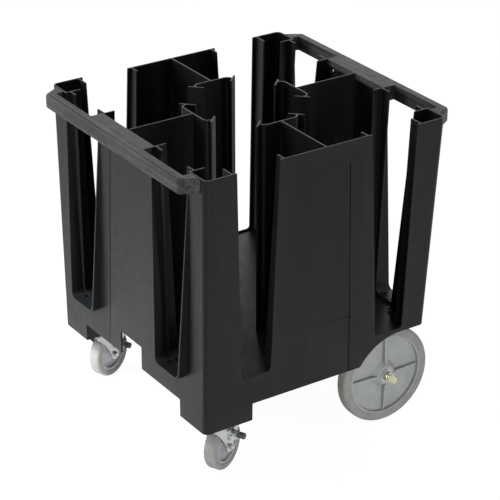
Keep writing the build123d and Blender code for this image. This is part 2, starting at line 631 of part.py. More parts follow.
def caster_fork():
    """Pressed fork: a crown with a kingpin hole and two side plates down to the axle bolt."""
    top = CROWN_TOP
    outside = FORK_INSIDE + 2 * FORK_SHEET
    hollow = (FORK_HOLLOW[0], CASTER_RADIUS + FORK_HOLLOW[1])
    axle_z = CASTER_RADIUS
    crown_size = (FORK_BACK - FORK_FRONT, outside, FORK_SHEET)
    crown_at = ((FORK_BACK + FORK_FRONT) / 2, 0, top - FORK_SHEET / 2)
    crown = Pos(*crown_at) * Box(*crown_size)
    front_low = (FORK_FRONT, top - FORK_DROP)
    eye_front = (TRAIL - FORK_EYE, axle_z)
    eye_back = (TRAIL + FORK_EYE, axle_z)
    outline = [
        Line((FORK_FRONT, top), (FORK_BACK, top)),
        Line((FORK_BACK, top), eye_back),
        ThreePointArc(eye_back, (TRAIL, axle_z - FORK_EYE), eye_front),
        ThreePointArc(eye_front, hollow, front_low),
        Line(front_low, (FORK_FRONT, top)),
    ]
    plate = make_face(outline) - Pos(TRAIL, axle_z) * Circle(BOLT_RADIUS + RUNNING_FIT)
    left = extrude(Plane.XZ.offset(-outside / 2) * plate, FORK_SHEET)
    right = extrude(Plane.XZ.offset(FORK_INSIDE / 2) * plate, FORK_SHEET)
    fork = crown + left + right
    bends = [edge for edge in fork.edges()
             if abs(edge.center().Z - top) < TOLERANCE
             and abs(abs(edge.center().Y) - outside / 2) < TOLERANCE]
    fork = fillet(bends, FORK_BEND)
    pivot_x, pivot_z = from_axis(BRAKE_PIVOT)
    pivot_at = Pos(pivot_x, 0, pivot_z) * Rot(90, 0, 0)
    fork -= pivot_at * Pos(0, 0, outside / 2) * Cylinder(PIVOT_RADIUS, 4 * FORK_SHEET)
    return fork - Pos(0, 0, top) * Cylinder(KINGPIN_RADIUS + RUNNING_FIT, 4 * FORK_SHEET)


def kingpin():
    """Riveted swivel pin from the plate through the crown."""
    low = CROWN_TOP - FORK_SHEET - END_FLOAT
    shank = Pos(0, 0, low) * extrude(Circle(KINGPIN_RADIUS), LEG_BOTTOM - low)
    head = Pos(0, 0, low - KINGPIN_HEAD) * extrude(Circle(KINGPIN_HEAD_RADIUS), KINGPIN_HEAD)
    return shank + fillet(head.edges().sort_by(Axis.Z)[:1], KINGPIN_HEAD / 2)


def race_balls():
    """Ring of balls between the plate cup and the crown."""
    height = CROWN_TOP + BALL_RADIUS + BALL_GAP
    balls = []
    for index in range(BALL_COUNT):
        turn = radians(360 / BALL_COUNT * index)
        at = Pos(BALL_PITCH * cos(turn), BALL_PITCH * sin(turn), height)
        balls.append(at * Sphere(BALL_RADIUS))
    return balls


def along_v(shape, x, z, start):
    """Lay a shape made along +Z on its side at (x, z), running towards -Y from start."""
    return Pos(x, -start, z) * Rot(90, 0, 0) * shape


def brake_side():
    """Distance from the middle of the caster to the inner face of the brake lever."""
    return FORK_INSIDE / 2 + FORK_SHEET + SEAT_GAP


def pressed_to_released(shape):
    """Turn a shape drawn with the brake applied back to where it rests released."""
    x, z = from_axis(BRAKE_PIVOT)
    return Pos(x, 0, z) * Rot(0, -BRAKE_TRAVEL, 0) * Pos(-x, 0, -z) * shape


def tyre_sector(inner, outer, first, last, half_width):
    """Piece of a ring round the caster axle between two angles, centred across the wheel."""
    middle = (inner + outer) / 2
    arc = CenterArc((TRAIL, CASTER_RADIUS), middle, first, last - first)
    ring = trace(arc, line_width=outer - inner)
    return extrude(Plane.XZ.offset(-half_width) * ring, 2 * half_width)


def brake_shoe():
    """Rubber shoe that lies on the tyre when the brake is applied."""
    inner = CASTER_RADIUS + SHOE_GAP
    return pressed_to_released(
        tyre_sector(inner, inner + SHOE_THICKNESS, SHOE_FROM, SHOE_TO, SHOE_HALF_WIDTH))


def brake_lever():
    """Lever plate beside the fork, with the strap that reaches over the tyre to the shoe."""
    inner = CASTER_RADIUS + SHOE_GAP + SHOE_THICKNESS
    outer_face = brake_side() + BRAKE_SHEET
    strap = tyre_sector(inner, inner + STRAP_THICKNESS, SHOE_FROM, SHOE_TO, outer_face)
    keep = Box(FAR_OUT, outer_face + SHOE_HALF_WIDTH, FAR_OUT,
               align=(Align.CENTER, Align.MIN, Align.CENTER))
    strap = pressed_to_released(strap & Pos(0, -outer_face, 0) * keep)
    mid_turn = radians((SHOE_FROM + SHOE_TO) / 2)
    reach = inner + STRAP_THICKNESS / 2
    across = reach * cos(mid_turn) - BRAKE_PIVOT[0]
    up = reach * sin(mid_turn) - BRAKE_PIVOT[1]
    lift = radians(BRAKE_TRAVEL)
    strap_at = (BRAKE_PIVOT[0] + across * cos(lift) - up * sin(lift),
                BRAKE_PIVOT[1] + across * sin(lift) + up * cos(lift))
    pivot = Pos(*from_axis(BRAKE_PIVOT))
    eye = pivot * Circle(PIVOT_EYE)
    plate = eye
    arms = ((PEDAL_AT, PEDAL_RADIUS), (RELEASE_AT, RELEASE_RADIUS), (strap_at, PEDAL_RADIUS))
    for at, radius in arms:
        tip = Pos(*from_axis(at)) * Circle(radius)
        plate += make_hull([eye.edges(), tip.edges()])
    plate -= pivot * Circle(PIVOT_RADIUS + RUNNING_FIT)
    lever = extrude(Plane.XZ.offset(brake_side()) * plate, BRAKE_SHEET)
    lever += strap
    return lever - pressed_to_released(tyre_sector(
        CASTER_RADIUS, inner, SHOE_FROM - STRAP_CLEAR_ARC, SHOE_TO + STRAP_CLEAR_ARC,
        brake_side()))


def brake_knobs():
    """Foot knob and release knob on the outside of the lever."""
    start = brake_side() + BRAKE_SHEET
    knobs = []
    for place, radius, length in ((PEDAL_AT, PEDAL_RADIUS, PEDAL_LENGTH),
                                  (RELEASE_AT, RELEASE_RADIUS, RELEASE_LENGTH)):
        knob = extrude(Circle(radius), length)
        knob = fillet(knob.edges().sort_by(Axis.Z)[-1:], KNOB_ROUND_SHARE * radius)
        knobs.append(along_v(knob, *from_axis(place), start))
    return Compound(children=knobs)


def brake_pivot():
    """Rivet that the lever turns on, headed on both sides."""
    inner = FORK_INSIDE / 2
    outer = brake_side() + BRAKE_SHEET + SEAT_GAP
    x, z = from_axis(BRAKE_PIVOT)
    shank = extrude(Circle(PIVOT_RADIUS), outer - inner)
    head = extrude(Circle(PIVOT_HEAD_RADIUS), PIVOT_HEAD)
    outer_head = fillet(head.edges().sort_by(Axis.Z)[-1:], PIVOT_HEAD / 2)
    inner_head = extrude(Circle(PIVOT_INNER_RADIUS), PIVOT_INNER_HEAD)
    return (along_v(shank, x, z, inner) + along_v(outer_head, x, z, outer)
            + along_v(inner_head, x, z, inner - PIVOT_INNER_HEAD))


def caster_axle():
    """Sleeve, bolt and nut of one caster wheel, as (part, shape) pairs."""
    outside = FORK_INSIDE / 2 + FORK_SHEET
    x, z = TRAIL, CASTER_RADIUS
    bore = BOLT_RADIUS + RUNNING_FIT
    sleeve = tube(bore + SLEEVE_WALL, bore, FORK_INSIDE)
    nut = hex_nut(BOLT_FLATS, BOLT_RADIUS, BOLT_NUT_HEIGHT)
    return [
        ("sleeve", along_v(sleeve, x, z, -FORK_INSIDE / 2)),
        ("axle_bolt", along_v(hex_bolt(2 * outside), x, z, -outside)),
        ("axle_nut", along_v(nut, x, z, outside)),
    ]


def caster_wheel():
    """Core and tyre of one caster wheel, as (part, shape) pairs."""
    bore = BOLT_RADIUS + RUNNING_FIT + SLEEVE_WALL + RUNNING_FIT
    boss_length = FORK_INSIDE - 2 * END_FLOAT
    core = wheel_core(CASTER_TYRE_INNER, CASTER_RIM_DEPTH, CASTER_RIM_WIDTH, CASTER_DISC,
                      CASTER_BOSS_BASE, CASTER_BOSS_TIP, boss_length, bore)
    ring = tyre(CASTER_RADIUS, CASTER_TYRE_INNER, CASTER_WIDTH, CASTER_SHOULDER)
    return [("wheel_core", along_v(core, TRAIL, CASTER_RADIUS, 0.0)),
            ("wheel_tyre", along_v(ring, TRAIL, CASTER_RADIUS, 0.0))]


def caster(side, name, heading):
    """One caster at its place under the body, as (node, shape) pairs."""
    seat = Pos(CASTER_X, side * CASTER_Y, 0)
    turned = seat * Rot(0, 0, heading)
    pieces = [
        ("fork", caster_fork()),
        ("brake_lever", brake_lever()),
        ("brake_shoe", brake_shoe()),
        ("brake_knobs", brake_knobs()),
        ("brake_pivot", brake_pivot()),
    ]
    pieces += caster_axle() + caster_wheel()
    nodes = [(f"{name}_caster_{part}", turned * shape) for part, shape in pieces]
    nodes.append((f"{name}_caster_plate", seat * caster_plate()))
    nodes.append((f"{name}_caster_kingpin", seat * kingpin()))
    nodes.append((f"{name}_caster_balls", Compound(children=[seat * ball for ball in race_balls()])))
    return nodes


def caster_fixings():
    """Bolts and nuts that hold both caster plates to the legs."""
    head_face = LEG_BOTTOM - PLATE_THICKNESS
    grip = PLATE_THICKNESS + LEG_FLOOR
    bolts = []
    nuts = []
    for side in (-1, 1):
        for x, y in bolt_places():
            at = (CASTER_X + x, side * CASTER_Y + y)
            bolts.append(Pos(*at, head_face) * hex_bolt(grip))
            nut = hex_nut(BOLT_FLATS, BOLT_RADIUS, BOLT_NUT_HEIGHT)
            nuts.append(Pos(*at, head_face + grip) * nut)
    return [("caster_plate_bolts", Compound(children=bolts)),
            ("caster_plate_nuts", Compound(children=nuts))]


def body_nodes():
    """The moulded body in its named parts, as (node, shape) pairs."""
    upper = slotted_wall(SILL, BODY_TOP)
    screw_holes = screws(-1, SCREW_HOLE_GAP) + screws(1, SCREW_HOLE_GAP)
    nodes = [("base_tub", base_tub())]
    for side, side_name in ((-1, "right"), (1, "left")):
        nodes.append((f"{side_name}_caster_leg", caster_leg(side)))
        nodes.append((f"{side_name}_axle_hanger", axle_hanger(side)))
        nodes.append((f"{side_name}_divider", side_divider(upper, side)))
        for end, end_name in ((-1, "caster_end"), (1, "wheel_end")):
            post = corner_post(upper, end, side)
            for hole in screw_holes:
                post -= hole
            nodes.append((f"{side_name}_post_{end_name}", post))
    for end, end_name in ((-1, "caster_end"), (1, "wheel_end")):
        divider = end_divider(upper, end)
        for hole in screw_holes:
            divider -= hole
        nodes.append((f"{end_name}_divider", divider))
        nodes.append((f"{end_name}_handle", handle(end, upper)))
    nodes.append(("handle_screws", Compound(children=screws(-1, 0.0) + screws(1, 0.0))))
    return nodes


def main():
    """Build every node and write it to its own file."""
    os.makedirs("parts", exist_ok=True)
    nodes = body_nodes() + [("axle", axle())]
    for side, name, heading in ((-1, "right", RIGHT_HEADING), (1, "left", LEFT_HEADING)):
        nodes += wheel_set(side, name)
        nodes += caster(side, name, heading)
    nodes += caster_fixings()
    for name, shape in nodes:
        export_step(shape, f"parts/{name}.step")
        print(name, len(shape.solids()), round(shape.volume))


main()
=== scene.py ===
"""Looks of a plate dispenser cart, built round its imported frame.

The cart is a black moulded body with four plate columns, a grab handle at each end, two
large grey wheels on a through axle and two zinc-plated swivel casters with foot brakes.
All lengths are metres in the frame of the model: +Z up, +X towards the large wheels,
-Y the right side.
"""

import sys
import json
import logging
import math
from collections.abc import Callable, Iterator, Sequence
from dataclasses import dataclass
from enum import Enum
from itertools import product

import bmesh
import bpy
from mathutils import Matrix, Vector


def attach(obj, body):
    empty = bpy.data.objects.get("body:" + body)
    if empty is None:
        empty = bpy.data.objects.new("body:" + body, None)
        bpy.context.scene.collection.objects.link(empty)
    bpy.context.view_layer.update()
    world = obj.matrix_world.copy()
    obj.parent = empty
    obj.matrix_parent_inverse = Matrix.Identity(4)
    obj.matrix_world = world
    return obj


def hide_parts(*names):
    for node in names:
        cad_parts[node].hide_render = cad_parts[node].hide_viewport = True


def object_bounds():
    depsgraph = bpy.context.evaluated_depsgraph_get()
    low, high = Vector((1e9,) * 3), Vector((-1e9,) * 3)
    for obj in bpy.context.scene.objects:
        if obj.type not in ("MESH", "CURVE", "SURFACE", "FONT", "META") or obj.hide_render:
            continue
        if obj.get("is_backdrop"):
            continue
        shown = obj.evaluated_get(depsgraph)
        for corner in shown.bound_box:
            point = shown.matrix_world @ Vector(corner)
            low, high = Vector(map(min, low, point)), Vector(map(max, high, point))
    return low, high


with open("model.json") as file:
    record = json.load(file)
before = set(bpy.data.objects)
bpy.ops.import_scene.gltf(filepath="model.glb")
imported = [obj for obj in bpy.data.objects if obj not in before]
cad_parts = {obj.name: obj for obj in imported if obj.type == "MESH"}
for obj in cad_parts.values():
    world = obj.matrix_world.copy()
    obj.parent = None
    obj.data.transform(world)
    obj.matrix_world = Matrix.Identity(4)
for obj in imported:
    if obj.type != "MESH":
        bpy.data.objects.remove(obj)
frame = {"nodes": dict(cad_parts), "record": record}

Piece = bpy.types.Object
Material = bpy.types.Material
Tree = bpy.types.NodeTree
Socket = bpy.types.NodeSocket
Pair = tuple[float, float]
Point = tuple[float, float, float]
Four = tuple[float, float, float, float]

LOG = logging.getLogger("plate_cart")
MM = 0.001
WELD = 1e-6            # points nearer than this are one point
NODE_WELD = 2e-6       # the same in a CAD node, whose triangles come apart
NOISE_MIDDLE = (0.3, 0.7)      # where most of a noise's values lie
CAD_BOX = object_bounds()
ROOT_COLLECTION = bpy.context.scene.collection


# ---------------------------------------------------------------- small tools


def hex_colour(code: str) -> Four:
    """Turn an sRGB hex value into linear RGBA.

    Args:
        code: Six hex digits, with or without a leading #.

    Returns:
        Linear red, green and blue, and an alpha of 1.
    """
    channels = [int(code.lstrip("#")[i : i + 2], 16) / 255 for i in (0, 2, 4)]
    linear = [c / 12.92 if c <= 0.04045 else ((c + 0.055) / 1.055) ** 2.4 for c in channels]
    return (*linear, 1.0)


def per_mm(size: float) -> float:
    """Scale of a noise on metre coordinates whose features are this many millimetres."""
    return 1.0 / (size * MM)


def add_node(
    tree: Tree,
    kind: str,
    inputs: dict[str | int, object] | None = None,
    **settings: object,
) -> bpy.types.Node:
    """Add one shader node with its settings and links.

    Args:
        tree: Node tree of the material.
        kind: Blender's type name of the node.
        inputs: Socket name or index to a value, or to an output socket to link from.
        settings: Attributes of the node itself.

    Returns:
        The new node.
    """
    node = tree.nodes.new(kind)
    for key, value in settings.items():
        setattr(node, key, value)
    for key, value in (inputs or {}).items():
        if isinstance(value, Socket):
            tree.links.new(value, node.inputs[key])
        else:
            node.inputs[key].default_value = value
    return node


def grey(level: float) -> Four:
    """RGBA of a plain linear grey."""
    return (level, level, level, 1.0)


def select_only(piece: Piece) -> None:
    """Deselect everything, then select one object and make it active.

    Args:
        piece: Object to select.
    """
    bpy.ops.object.select_all(action="DESELECT")
    piece.select_set(True)
    bpy.context.view_layer.objects.active = piece


def edit_all(piece: Piece, *steps: Callable[[], object]) -> None:
    """Run operators in edit mode with the whole mesh selected.

    Args:
        piece: Object to edit.
        steps: Calls to make, each on the selection the last one left.
    """
    select_only(piece)
    bpy.ops.object.mode_set(mode="EDIT")
    bpy.ops.mesh.select_mode(type="VERT")
    bpy.ops.mesh.select_all(action="SELECT")
    for step in steps:
        step()
    bpy.ops.object.mode_set(mode="OBJECT")


def edit_chosen(
    piece: Piece,
    keep: Callable[[Vector], bool],
    *steps: Callable[[], object],
) -> None:
    """Run operators in edit mode on the vertices at chosen places.

    Args:
        piece: Object to edit.
        keep: True for the place of each vertex that is to be selected.
        steps: Calls to make on that selection.
    """
    select_only(piece)
    bpy.ops.object.mode_set(mode="EDIT")
    bpy.ops.mesh.select_mode(type="VERT")
    bpy.ops.mesh.select_all(action="DESELECT")
    mesh = bmesh.from_edit_mesh(piece.data)
    for vertex in mesh.verts:
        vertex.select_set(keep(vertex.co))
    mesh.select_flush(True)
    bmesh.update_edit_mesh(piece.data)
    for step in steps:
        step()
    bpy.ops.object.mode_set(mode="OBJECT")


def apply_modifier(piece: Piece, kind: str, **settings: object) -> None:
    """Add a modifier with its settings and apply it.

    Args:
        piece: Object to change.
        kind: Blender's type name of the modifier.
        settings: Attributes of the modifier.
    """
    modifier = piece.modifiers.new(kind.title(), kind)
    for key, value in settings.items():
        setattr(modifier, key, value)
    select_only(piece)
    bpy.ops.object.modifier_apply(modifier=modifier.name)


def combine(piece: Piece, other: Piece, operation: str) -> None:
    """Join, cut or cross one closed mesh with another, which is used up.

    Args:
        piece: Object that is changed.
        other: Object that it is joined, cut or crossed with.
        operation: UNION, DIFFERENCE or INTERSECT.
    """
    apply_modifier(piece, "BOOLEAN", operation=operation, object=other, solver="MANIFOLD")
    bpy.data.objects.remove(other)


def copy_of_node(node: str, name: str) -> Piece:
    """Copy a CAD node's mesh into a new merged object.

    Args:
        node: Name of the CAD node.
        name: Name of the new object.

    Returns:
        The new object, with its loose triangles merged.
    """
    piece = bpy.data.objects.new(name, frame["nodes"][node].data.copy())
    ROOT_COLLECTION.objects.link(piece)
    piece.data.materials.clear()
    piece.data.name = name
    edit_all(piece, lambda: bpy.ops.mesh.remove_doubles(threshold=NODE_WELD))
    return piece


def flatten(piece: Piece, merge: float, angle: float) -> None:
    """Merge stray points and turn flat groups of triangles into whole faces.

    Args:
        piece: Object to clean.
        merge: Points nearer than this become one.
        angle: Faces within this many degrees count as flat.
    """
    edit_all(
        piece,
        lambda: bpy.ops.mesh.remove_doubles(threshold=merge),
        lambda: bpy.ops.mesh.dissolve_limited(angle_limit=math.radians(angle)),
    )


def round_edges(
    piece: Piece,
    width: float,
    segments: int = 2,
    angle: float = 35.0,
    skip: Callable[[Vector], bool] | None = None,
) -> None:
    """Round the sharp edges of a mesh.

    Args:
        piece: Object to change.
        width: How far the rounding reaches on each side of an edge.
        segments: Steps across the rounding.
        angle: Edges sharper than this many degrees are rounded.
        skip: True for the places between which edges stay as they are.
    """
    select_only(piece)
    bpy.ops.object.mode_set(mode="EDIT")
    bpy.ops.mesh.select_mode(type="EDGE")
    bpy.ops.mesh.select_all(action="DESELECT")
    bpy.ops.mesh.edges_select_sharp(sharpness=math.radians(angle))
    mesh = bmesh.from_edit_mesh(piece.data)
    for edge in mesh.edges:
        if skip and edge.select and all(skip(vertex.co) for vertex in edge.verts):
            edge.select_set(False)
    bmesh.update_edit_mesh(piece.data)
    bpy.ops.transform.edge_bevelweight(value=1.0)
    bpy.ops.object.mode_set(mode="OBJECT")
    apply_modifier(
        piece,
        "BEVEL",
        width=width,
        segments=segments,
        limit_method="WEIGHT",
        use_clamp_overlap=False,
        miter_outer="MITER_ARC",
    )


def smooth(piece: Piece, angle: float = 32.0) -> None:
    """Shade a piece smooth across edges gentler than an angle in degrees."""
    select_only(piece)
    bpy.ops.object.shade_smooth_by_angle(angle=math.radians(angle))


def steady_normals(piece: Piece) -> None:
    """Let the large flat faces set the shading, so that long thin ones don't bend it."""
    apply_modifier(piece, "WEIGHTED_NORMAL", keep_sharp=True, weight=100)


def block(
    name: str, place: Callable[[int, int, int], Sequence[float]]
) -> Piece:
    """Make a six-sided block whose eight corners are worked out one by one.

    Args:
        name: Name of the new object.
        place: Gives a corner in millimetres from its side, -1 or +1, along each axis.

    Returns:
        The new object.
    """
    bpy.ops.object.select_all(action="DESELECT")
    bpy.ops.mesh.primitive_cube_add(size=2.0)
    piece = bpy.context.object
    piece.name = piece.data.name = name
    for signs in product((-1, 1), repeat=3):
        corner = Vector(signs)
        shift = Vector(place(*signs)) * MM - corner
        edit_chosen(
            piece,
            lambda spot: (spot - corner).length < MM,
            lambda: bpy.ops.transform.translate(value=shift),
        )
    return piece


def rounded(
    corners: Sequence[Point], steps: int = 4
) -> list[Pair]:
    """Round the corners of a closed outline.

    Args:
        corners: Radius, height and rounding of each corner, all in one unit.
        steps: Straight pieces in each rounding.

    Returns:
        Points of the outline; a corner with no rounding stays as it is.
    """
    points = []
    for index, (radius, height, size) in enumerate(corners):
        here = Vector((radius, height))
        if not size:
            points.append((radius, height))
            continue
        before = (Vector(corners[index - 1][:2]) - here).normalized()
        after = (Vector(corners[(index + 1) % len(corners)][:2]) - here).normalized()
        half = before.angle(after) / 2
        middle = here + (before + after).normalized() * size / math.sin(half)
        first = here + before * size / math.tan(half) - middle
        last = here + after * size / math.tan(half) - middle
        for step in range(steps + 1):
            arm = first.lerp(last, step / steps).normalized() * size
            points.append(tuple(middle + arm))
    return points


def mirrored(half: Sequence[tuple[float, ...]]) -> list[tuple[float, ...]]:
    """Close an outline with its own mirror image in height.

    Args:
        half: Radius and height of each corner, with its rounding if it has one.

    Returns:
        The corners of both halves, in order.
    """
    return [*half, *((radius, -height, *size) for radius, height, *size in reversed(half))]


def spun(
    name: str, outline: Sequence[Pair], steps: int = 64
) -> Piece:
    """Spin an outline about the Z axis into a closed body.

    Args:
        name: Name of the new object.
        outline: Radius and height of each point in millimetres. An outline that starts on
            the axis also ends there; any other one is closed.
        steps: Steps round the axis.

    Returns:
        The new object.
    """
    bpy.ops.object.select_all(action="DESELECT")
    bpy.ops.mesh.primitive_plane_add(size=1.0)
    piece = bpy.context.object
    piece.name = piece.data.name = name
    path = list(outline) if outline[0][0] == 0 else [*outline, outline[0]]

    def draw() -> None:
        """Merge the plane to one point and draw the outline from it."""
        bpy.ops.mesh.merge(type="CENTER")
        bpy.ops.transform.translate(value=(path[0][0] * MM, 0.0, path[0][1] * MM))
        for (radius, height), (next_radius, next_height) in zip(path, path[1:]):
            step = ((next_radius - radius) * MM, 0.0, (next_height - height) * MM)
            bpy.ops.mesh.extrude_region_move(TRANSFORM_OT_translate={"value": step})

    edit_all(piece, draw)
    edit_all(
        piece,
        lambda: bpy.ops.mesh.remove_doubles(threshold=WELD),
        lambda: bpy.ops.mesh.spin(
            steps=steps, angle=math.tau, center=(0.0, 0.0, 0.0), axis=(0.0, 0.0, 1.0)),
    )
    edit_all(
        piece,
        lambda: bpy.ops.mesh.remove_doubles(threshold=WELD),
        lambda: bpy.ops.mesh.dissolve_degenerate(threshold=WELD),
        lambda: bpy.ops.mesh.normals_make_consistent(inside=False),
    )
    return piece


def put(piece: Piece, at: Matrix) -> Piece:
    """Move a piece's mesh to its place, so that the object itself stays at the origin.

    Args:
        piece: Object to move.
        at: Where its own frame goes.

    Returns:
        The same object.
    """
    piece.matrix_world = at
    select_only(piece)
    bpy.ops.object.transform_apply(location=True, rotation=True, scale=True)
    return piece


def twin(piece: Piece, at: Matrix) -> Piece:
    """Copy a piece with a mesh of its own and move the copy's mesh.

    Args:
        piece: Object to copy.
        at: Where the copy's own frame goes.

    Returns:
        The copy.
    """
    copy = bpy.data.objects.new(piece.name + "_twin", piece.data.copy())
    ROOT_COLLECTION.objects.link(copy)
    return put(copy, at)


def joined(piece: Piece, *others: Piece) -> Piece:
    """Join loose pieces into one object without merging their surfaces.

    Args:
        piece: Object that stays.
        others: Objects that become part of it.

    Returns:
        The object that stays.
    """
    select_only(piece)
    for other in others:
        other.select_set(True)
    bpy.ops.object.join()
    return piece


def move(x: float, y: float, z: float) -> Matrix:
    """Matrix that moves by a distance in millimetres."""
    return Matrix.Translation(Vector((x, y, z)) * MM)


def turn(degrees: float, axis: str) -> Matrix:
    """Matrix that turns about one axis."""
    return Matrix.Rotation(math.radians(degrees), 4, axis)


def dress(piece: Piece, material: Material) -> None:
    """Give a piece one material all over."""
    piece.data.materials.clear()
    piece.data.materials.append(material)


# ---------------------------------------------------------------- finishes


def new_material(name: str) -> tuple[Material, Tree]:
    """Make an empty node material.

    Args:
        name: Name of the material.

    Returns:
        The material and its node tree, with no nodes in it.
    """
    material = bpy.data.materials.new(name)
    material.use_nodes = True
    material.node_tree.nodes.clear()
    return material, material.node_tree


def mixed_colour(
    tree: Tree, share: Socket, first: str, second: str
) -> Socket:
    """Mix two hex colours by a share that varies over the surface.

    Args:
        tree: Node tree of the material.
        share: Socket with the share of the second colour.
        first: Six hex digits.
        second: Six hex digits.

    Returns:
        Socket of the mixed colour.
    """
    mix = add_node(
        tree, "ShaderNodeMix", {0: share, 6: hex_colour(first), 7: hex_colour(second)},
        data_type="RGBA",
    )
    return mix.outputs[2]


def seen_directly(tree: Tree) -> Socket:
    """Tell camera, glossy and transmission rays from all others.

    Args:
        tree: Node tree of the floor or the world.

    Returns:
        Socket that is 1 for those three kinds of ray and 0 for the rest.
    """
    path = add_node(tree, "ShaderNodeLightPath")
    seen = path.outputs["Is Camera Ray"]
    for ray in ("Is Glossy Ray", "Is Transmission Ray"):
        seen = add_node(
            tree, "ShaderNodeMath", {0: seen, 1: path.outputs[ray]}, operation="MAXIMUM"
        ).outputs["Value"]
    return seen


@dataclass(frozen=True)
class MouldedPolyethylene:
    """Rotational-moulded polyethylene, black all through.

    The mould leaves a fine even grain, slow waves from cooling and faint upright draw
    marks, so the broad soft highlights break up a little. Handling scuffs it matt and
    greyish, most along edges. The grain is drawn coarser than the real one, so that it
    shows. Sizes and depths are millimetres, and each pair is a low and a high value.
    """

    name: str
    colour: str
    worn_colour: str
    roughness: float
    roughness_spread: float
    grain_mm: float
    grain_depth: float
    streak_axis: int
    streak_strength: float
    specular: float = 0.5
    wave_mm: float = 140.0
    wave_depth: float = 2.0
    patch_mm: float = 22.0
    streak_mm: Pair = (9.0, 260.0)
    worn_edges: Pair = (0.515, 0.60)
    worn_share: float = 0.6
    dusty_streaks: Pair = (0.42, 0.72)

    def material(self) -> Material:
        """Build the material.

        Returns:
            The new material.
        """
        material, tree = new_material(self.name)
        place = add_node(tree, "ShaderNodeTexCoord").outputs["Object"]
        waves = add_node(
            tree, "ShaderNodeTexNoise",
            {"Vector": place, "Scale": per_mm(self.wave_mm), "Detail": 2.0},
        ).outputs["Fac"]
        patches = add_node(
            tree, "ShaderNodeTexNoise",
            {"Vector": place, "Scale": per_mm(self.patch_mm), "Detail": 5.0, "Roughness": 0.65},
        ).outputs["Fac"]
        grain = add_node(
            tree, "ShaderNodeTexNoise",
            {"Vector": place, "Scale": per_mm(self.grain_mm), "Detail": 3.0},
        ).outputs["Fac"]
        across, along = self.streak_mm
        stretch = [per_mm(across)] * 3
        stretch[self.streak_axis] = per_mm(along)
        drawn = add_node(
            tree, "ShaderNodeMapping", {"Vector": place, "Scale": stretch}
        ).outputs["Vector"]
        streaks = add_node(
            tree, "ShaderNodeTexNoise", {"Vector": drawn, "Scale": 1.0, "Detail": 4.0}
        ).outputs["Fac"]
        edges = add_node(tree, "ShaderNodeNewGeometry").outputs["Pointiness"]
        worn = add_node(
            tree, "ShaderNodeMapRange",
            {"Value": edges, "From Min": self.worn_edges[0], "From Max": self.worn_edges[1],
             "To Min": 0.0, "To Max": self.worn_share},
        ).outputs["Result"]
        rubbed = add_node(
            tree, "ShaderNodeMath", {0: worn, 1: patches}, operation="MULTIPLY"
        ).outputs["Value"]
        dust = add_node(
            tree, "ShaderNodeMapRange",
            {"Value": streaks, "From Min": self.dusty_streaks[0],
             "From Max": self.dusty_streaks[1], "To Min": 0.0, "To Max": self.streak_strength},
        ).outputs["Result"]
        marks = add_node(
            tree, "ShaderNodeMath", {0: rubbed, 1: dust}, operation="ADD", use_clamp=True
        ).outputs["Value"]
        colour = mixed_colour(tree, marks, self.colour, self.worn_colour)
        rough = add_node(
            tree, "ShaderNodeMapRange",
            {"Value": patches, "From Min": NOISE_MIDDLE[0], "From Max": NOISE_MIDDLE[1],
             "To Min": self.roughness - self.roughness_spread,
             "To Max": self.roughness + self.roughness_spread},
        ).outputs["Result"]
        wavy = add_node(
            tree, "ShaderNodeBump",
            {"Height": waves, "Strength": 0.35, "Distance": self.wave_depth * MM},
        ).outputs["Normal"]
        grained = add_node(
            tree, "ShaderNodeBump",
            {"Height": grain, "Strength": 0.5, "Distance": self.grain_depth * MM,
             "Normal": wavy},
        ).outputs["Normal"]
        shader = add_node(
            tree, "ShaderNodeBsdfPrincipled",
            {"Base Color": colour, "Roughness": rough, "Normal": grained,
             "Specular IOR Level": self.specular, "IOR": 1.5},
        )
        add_node(tree, "ShaderNodeOutputMaterial", {"Surface": shader.outputs["BSDF"]})
        return material


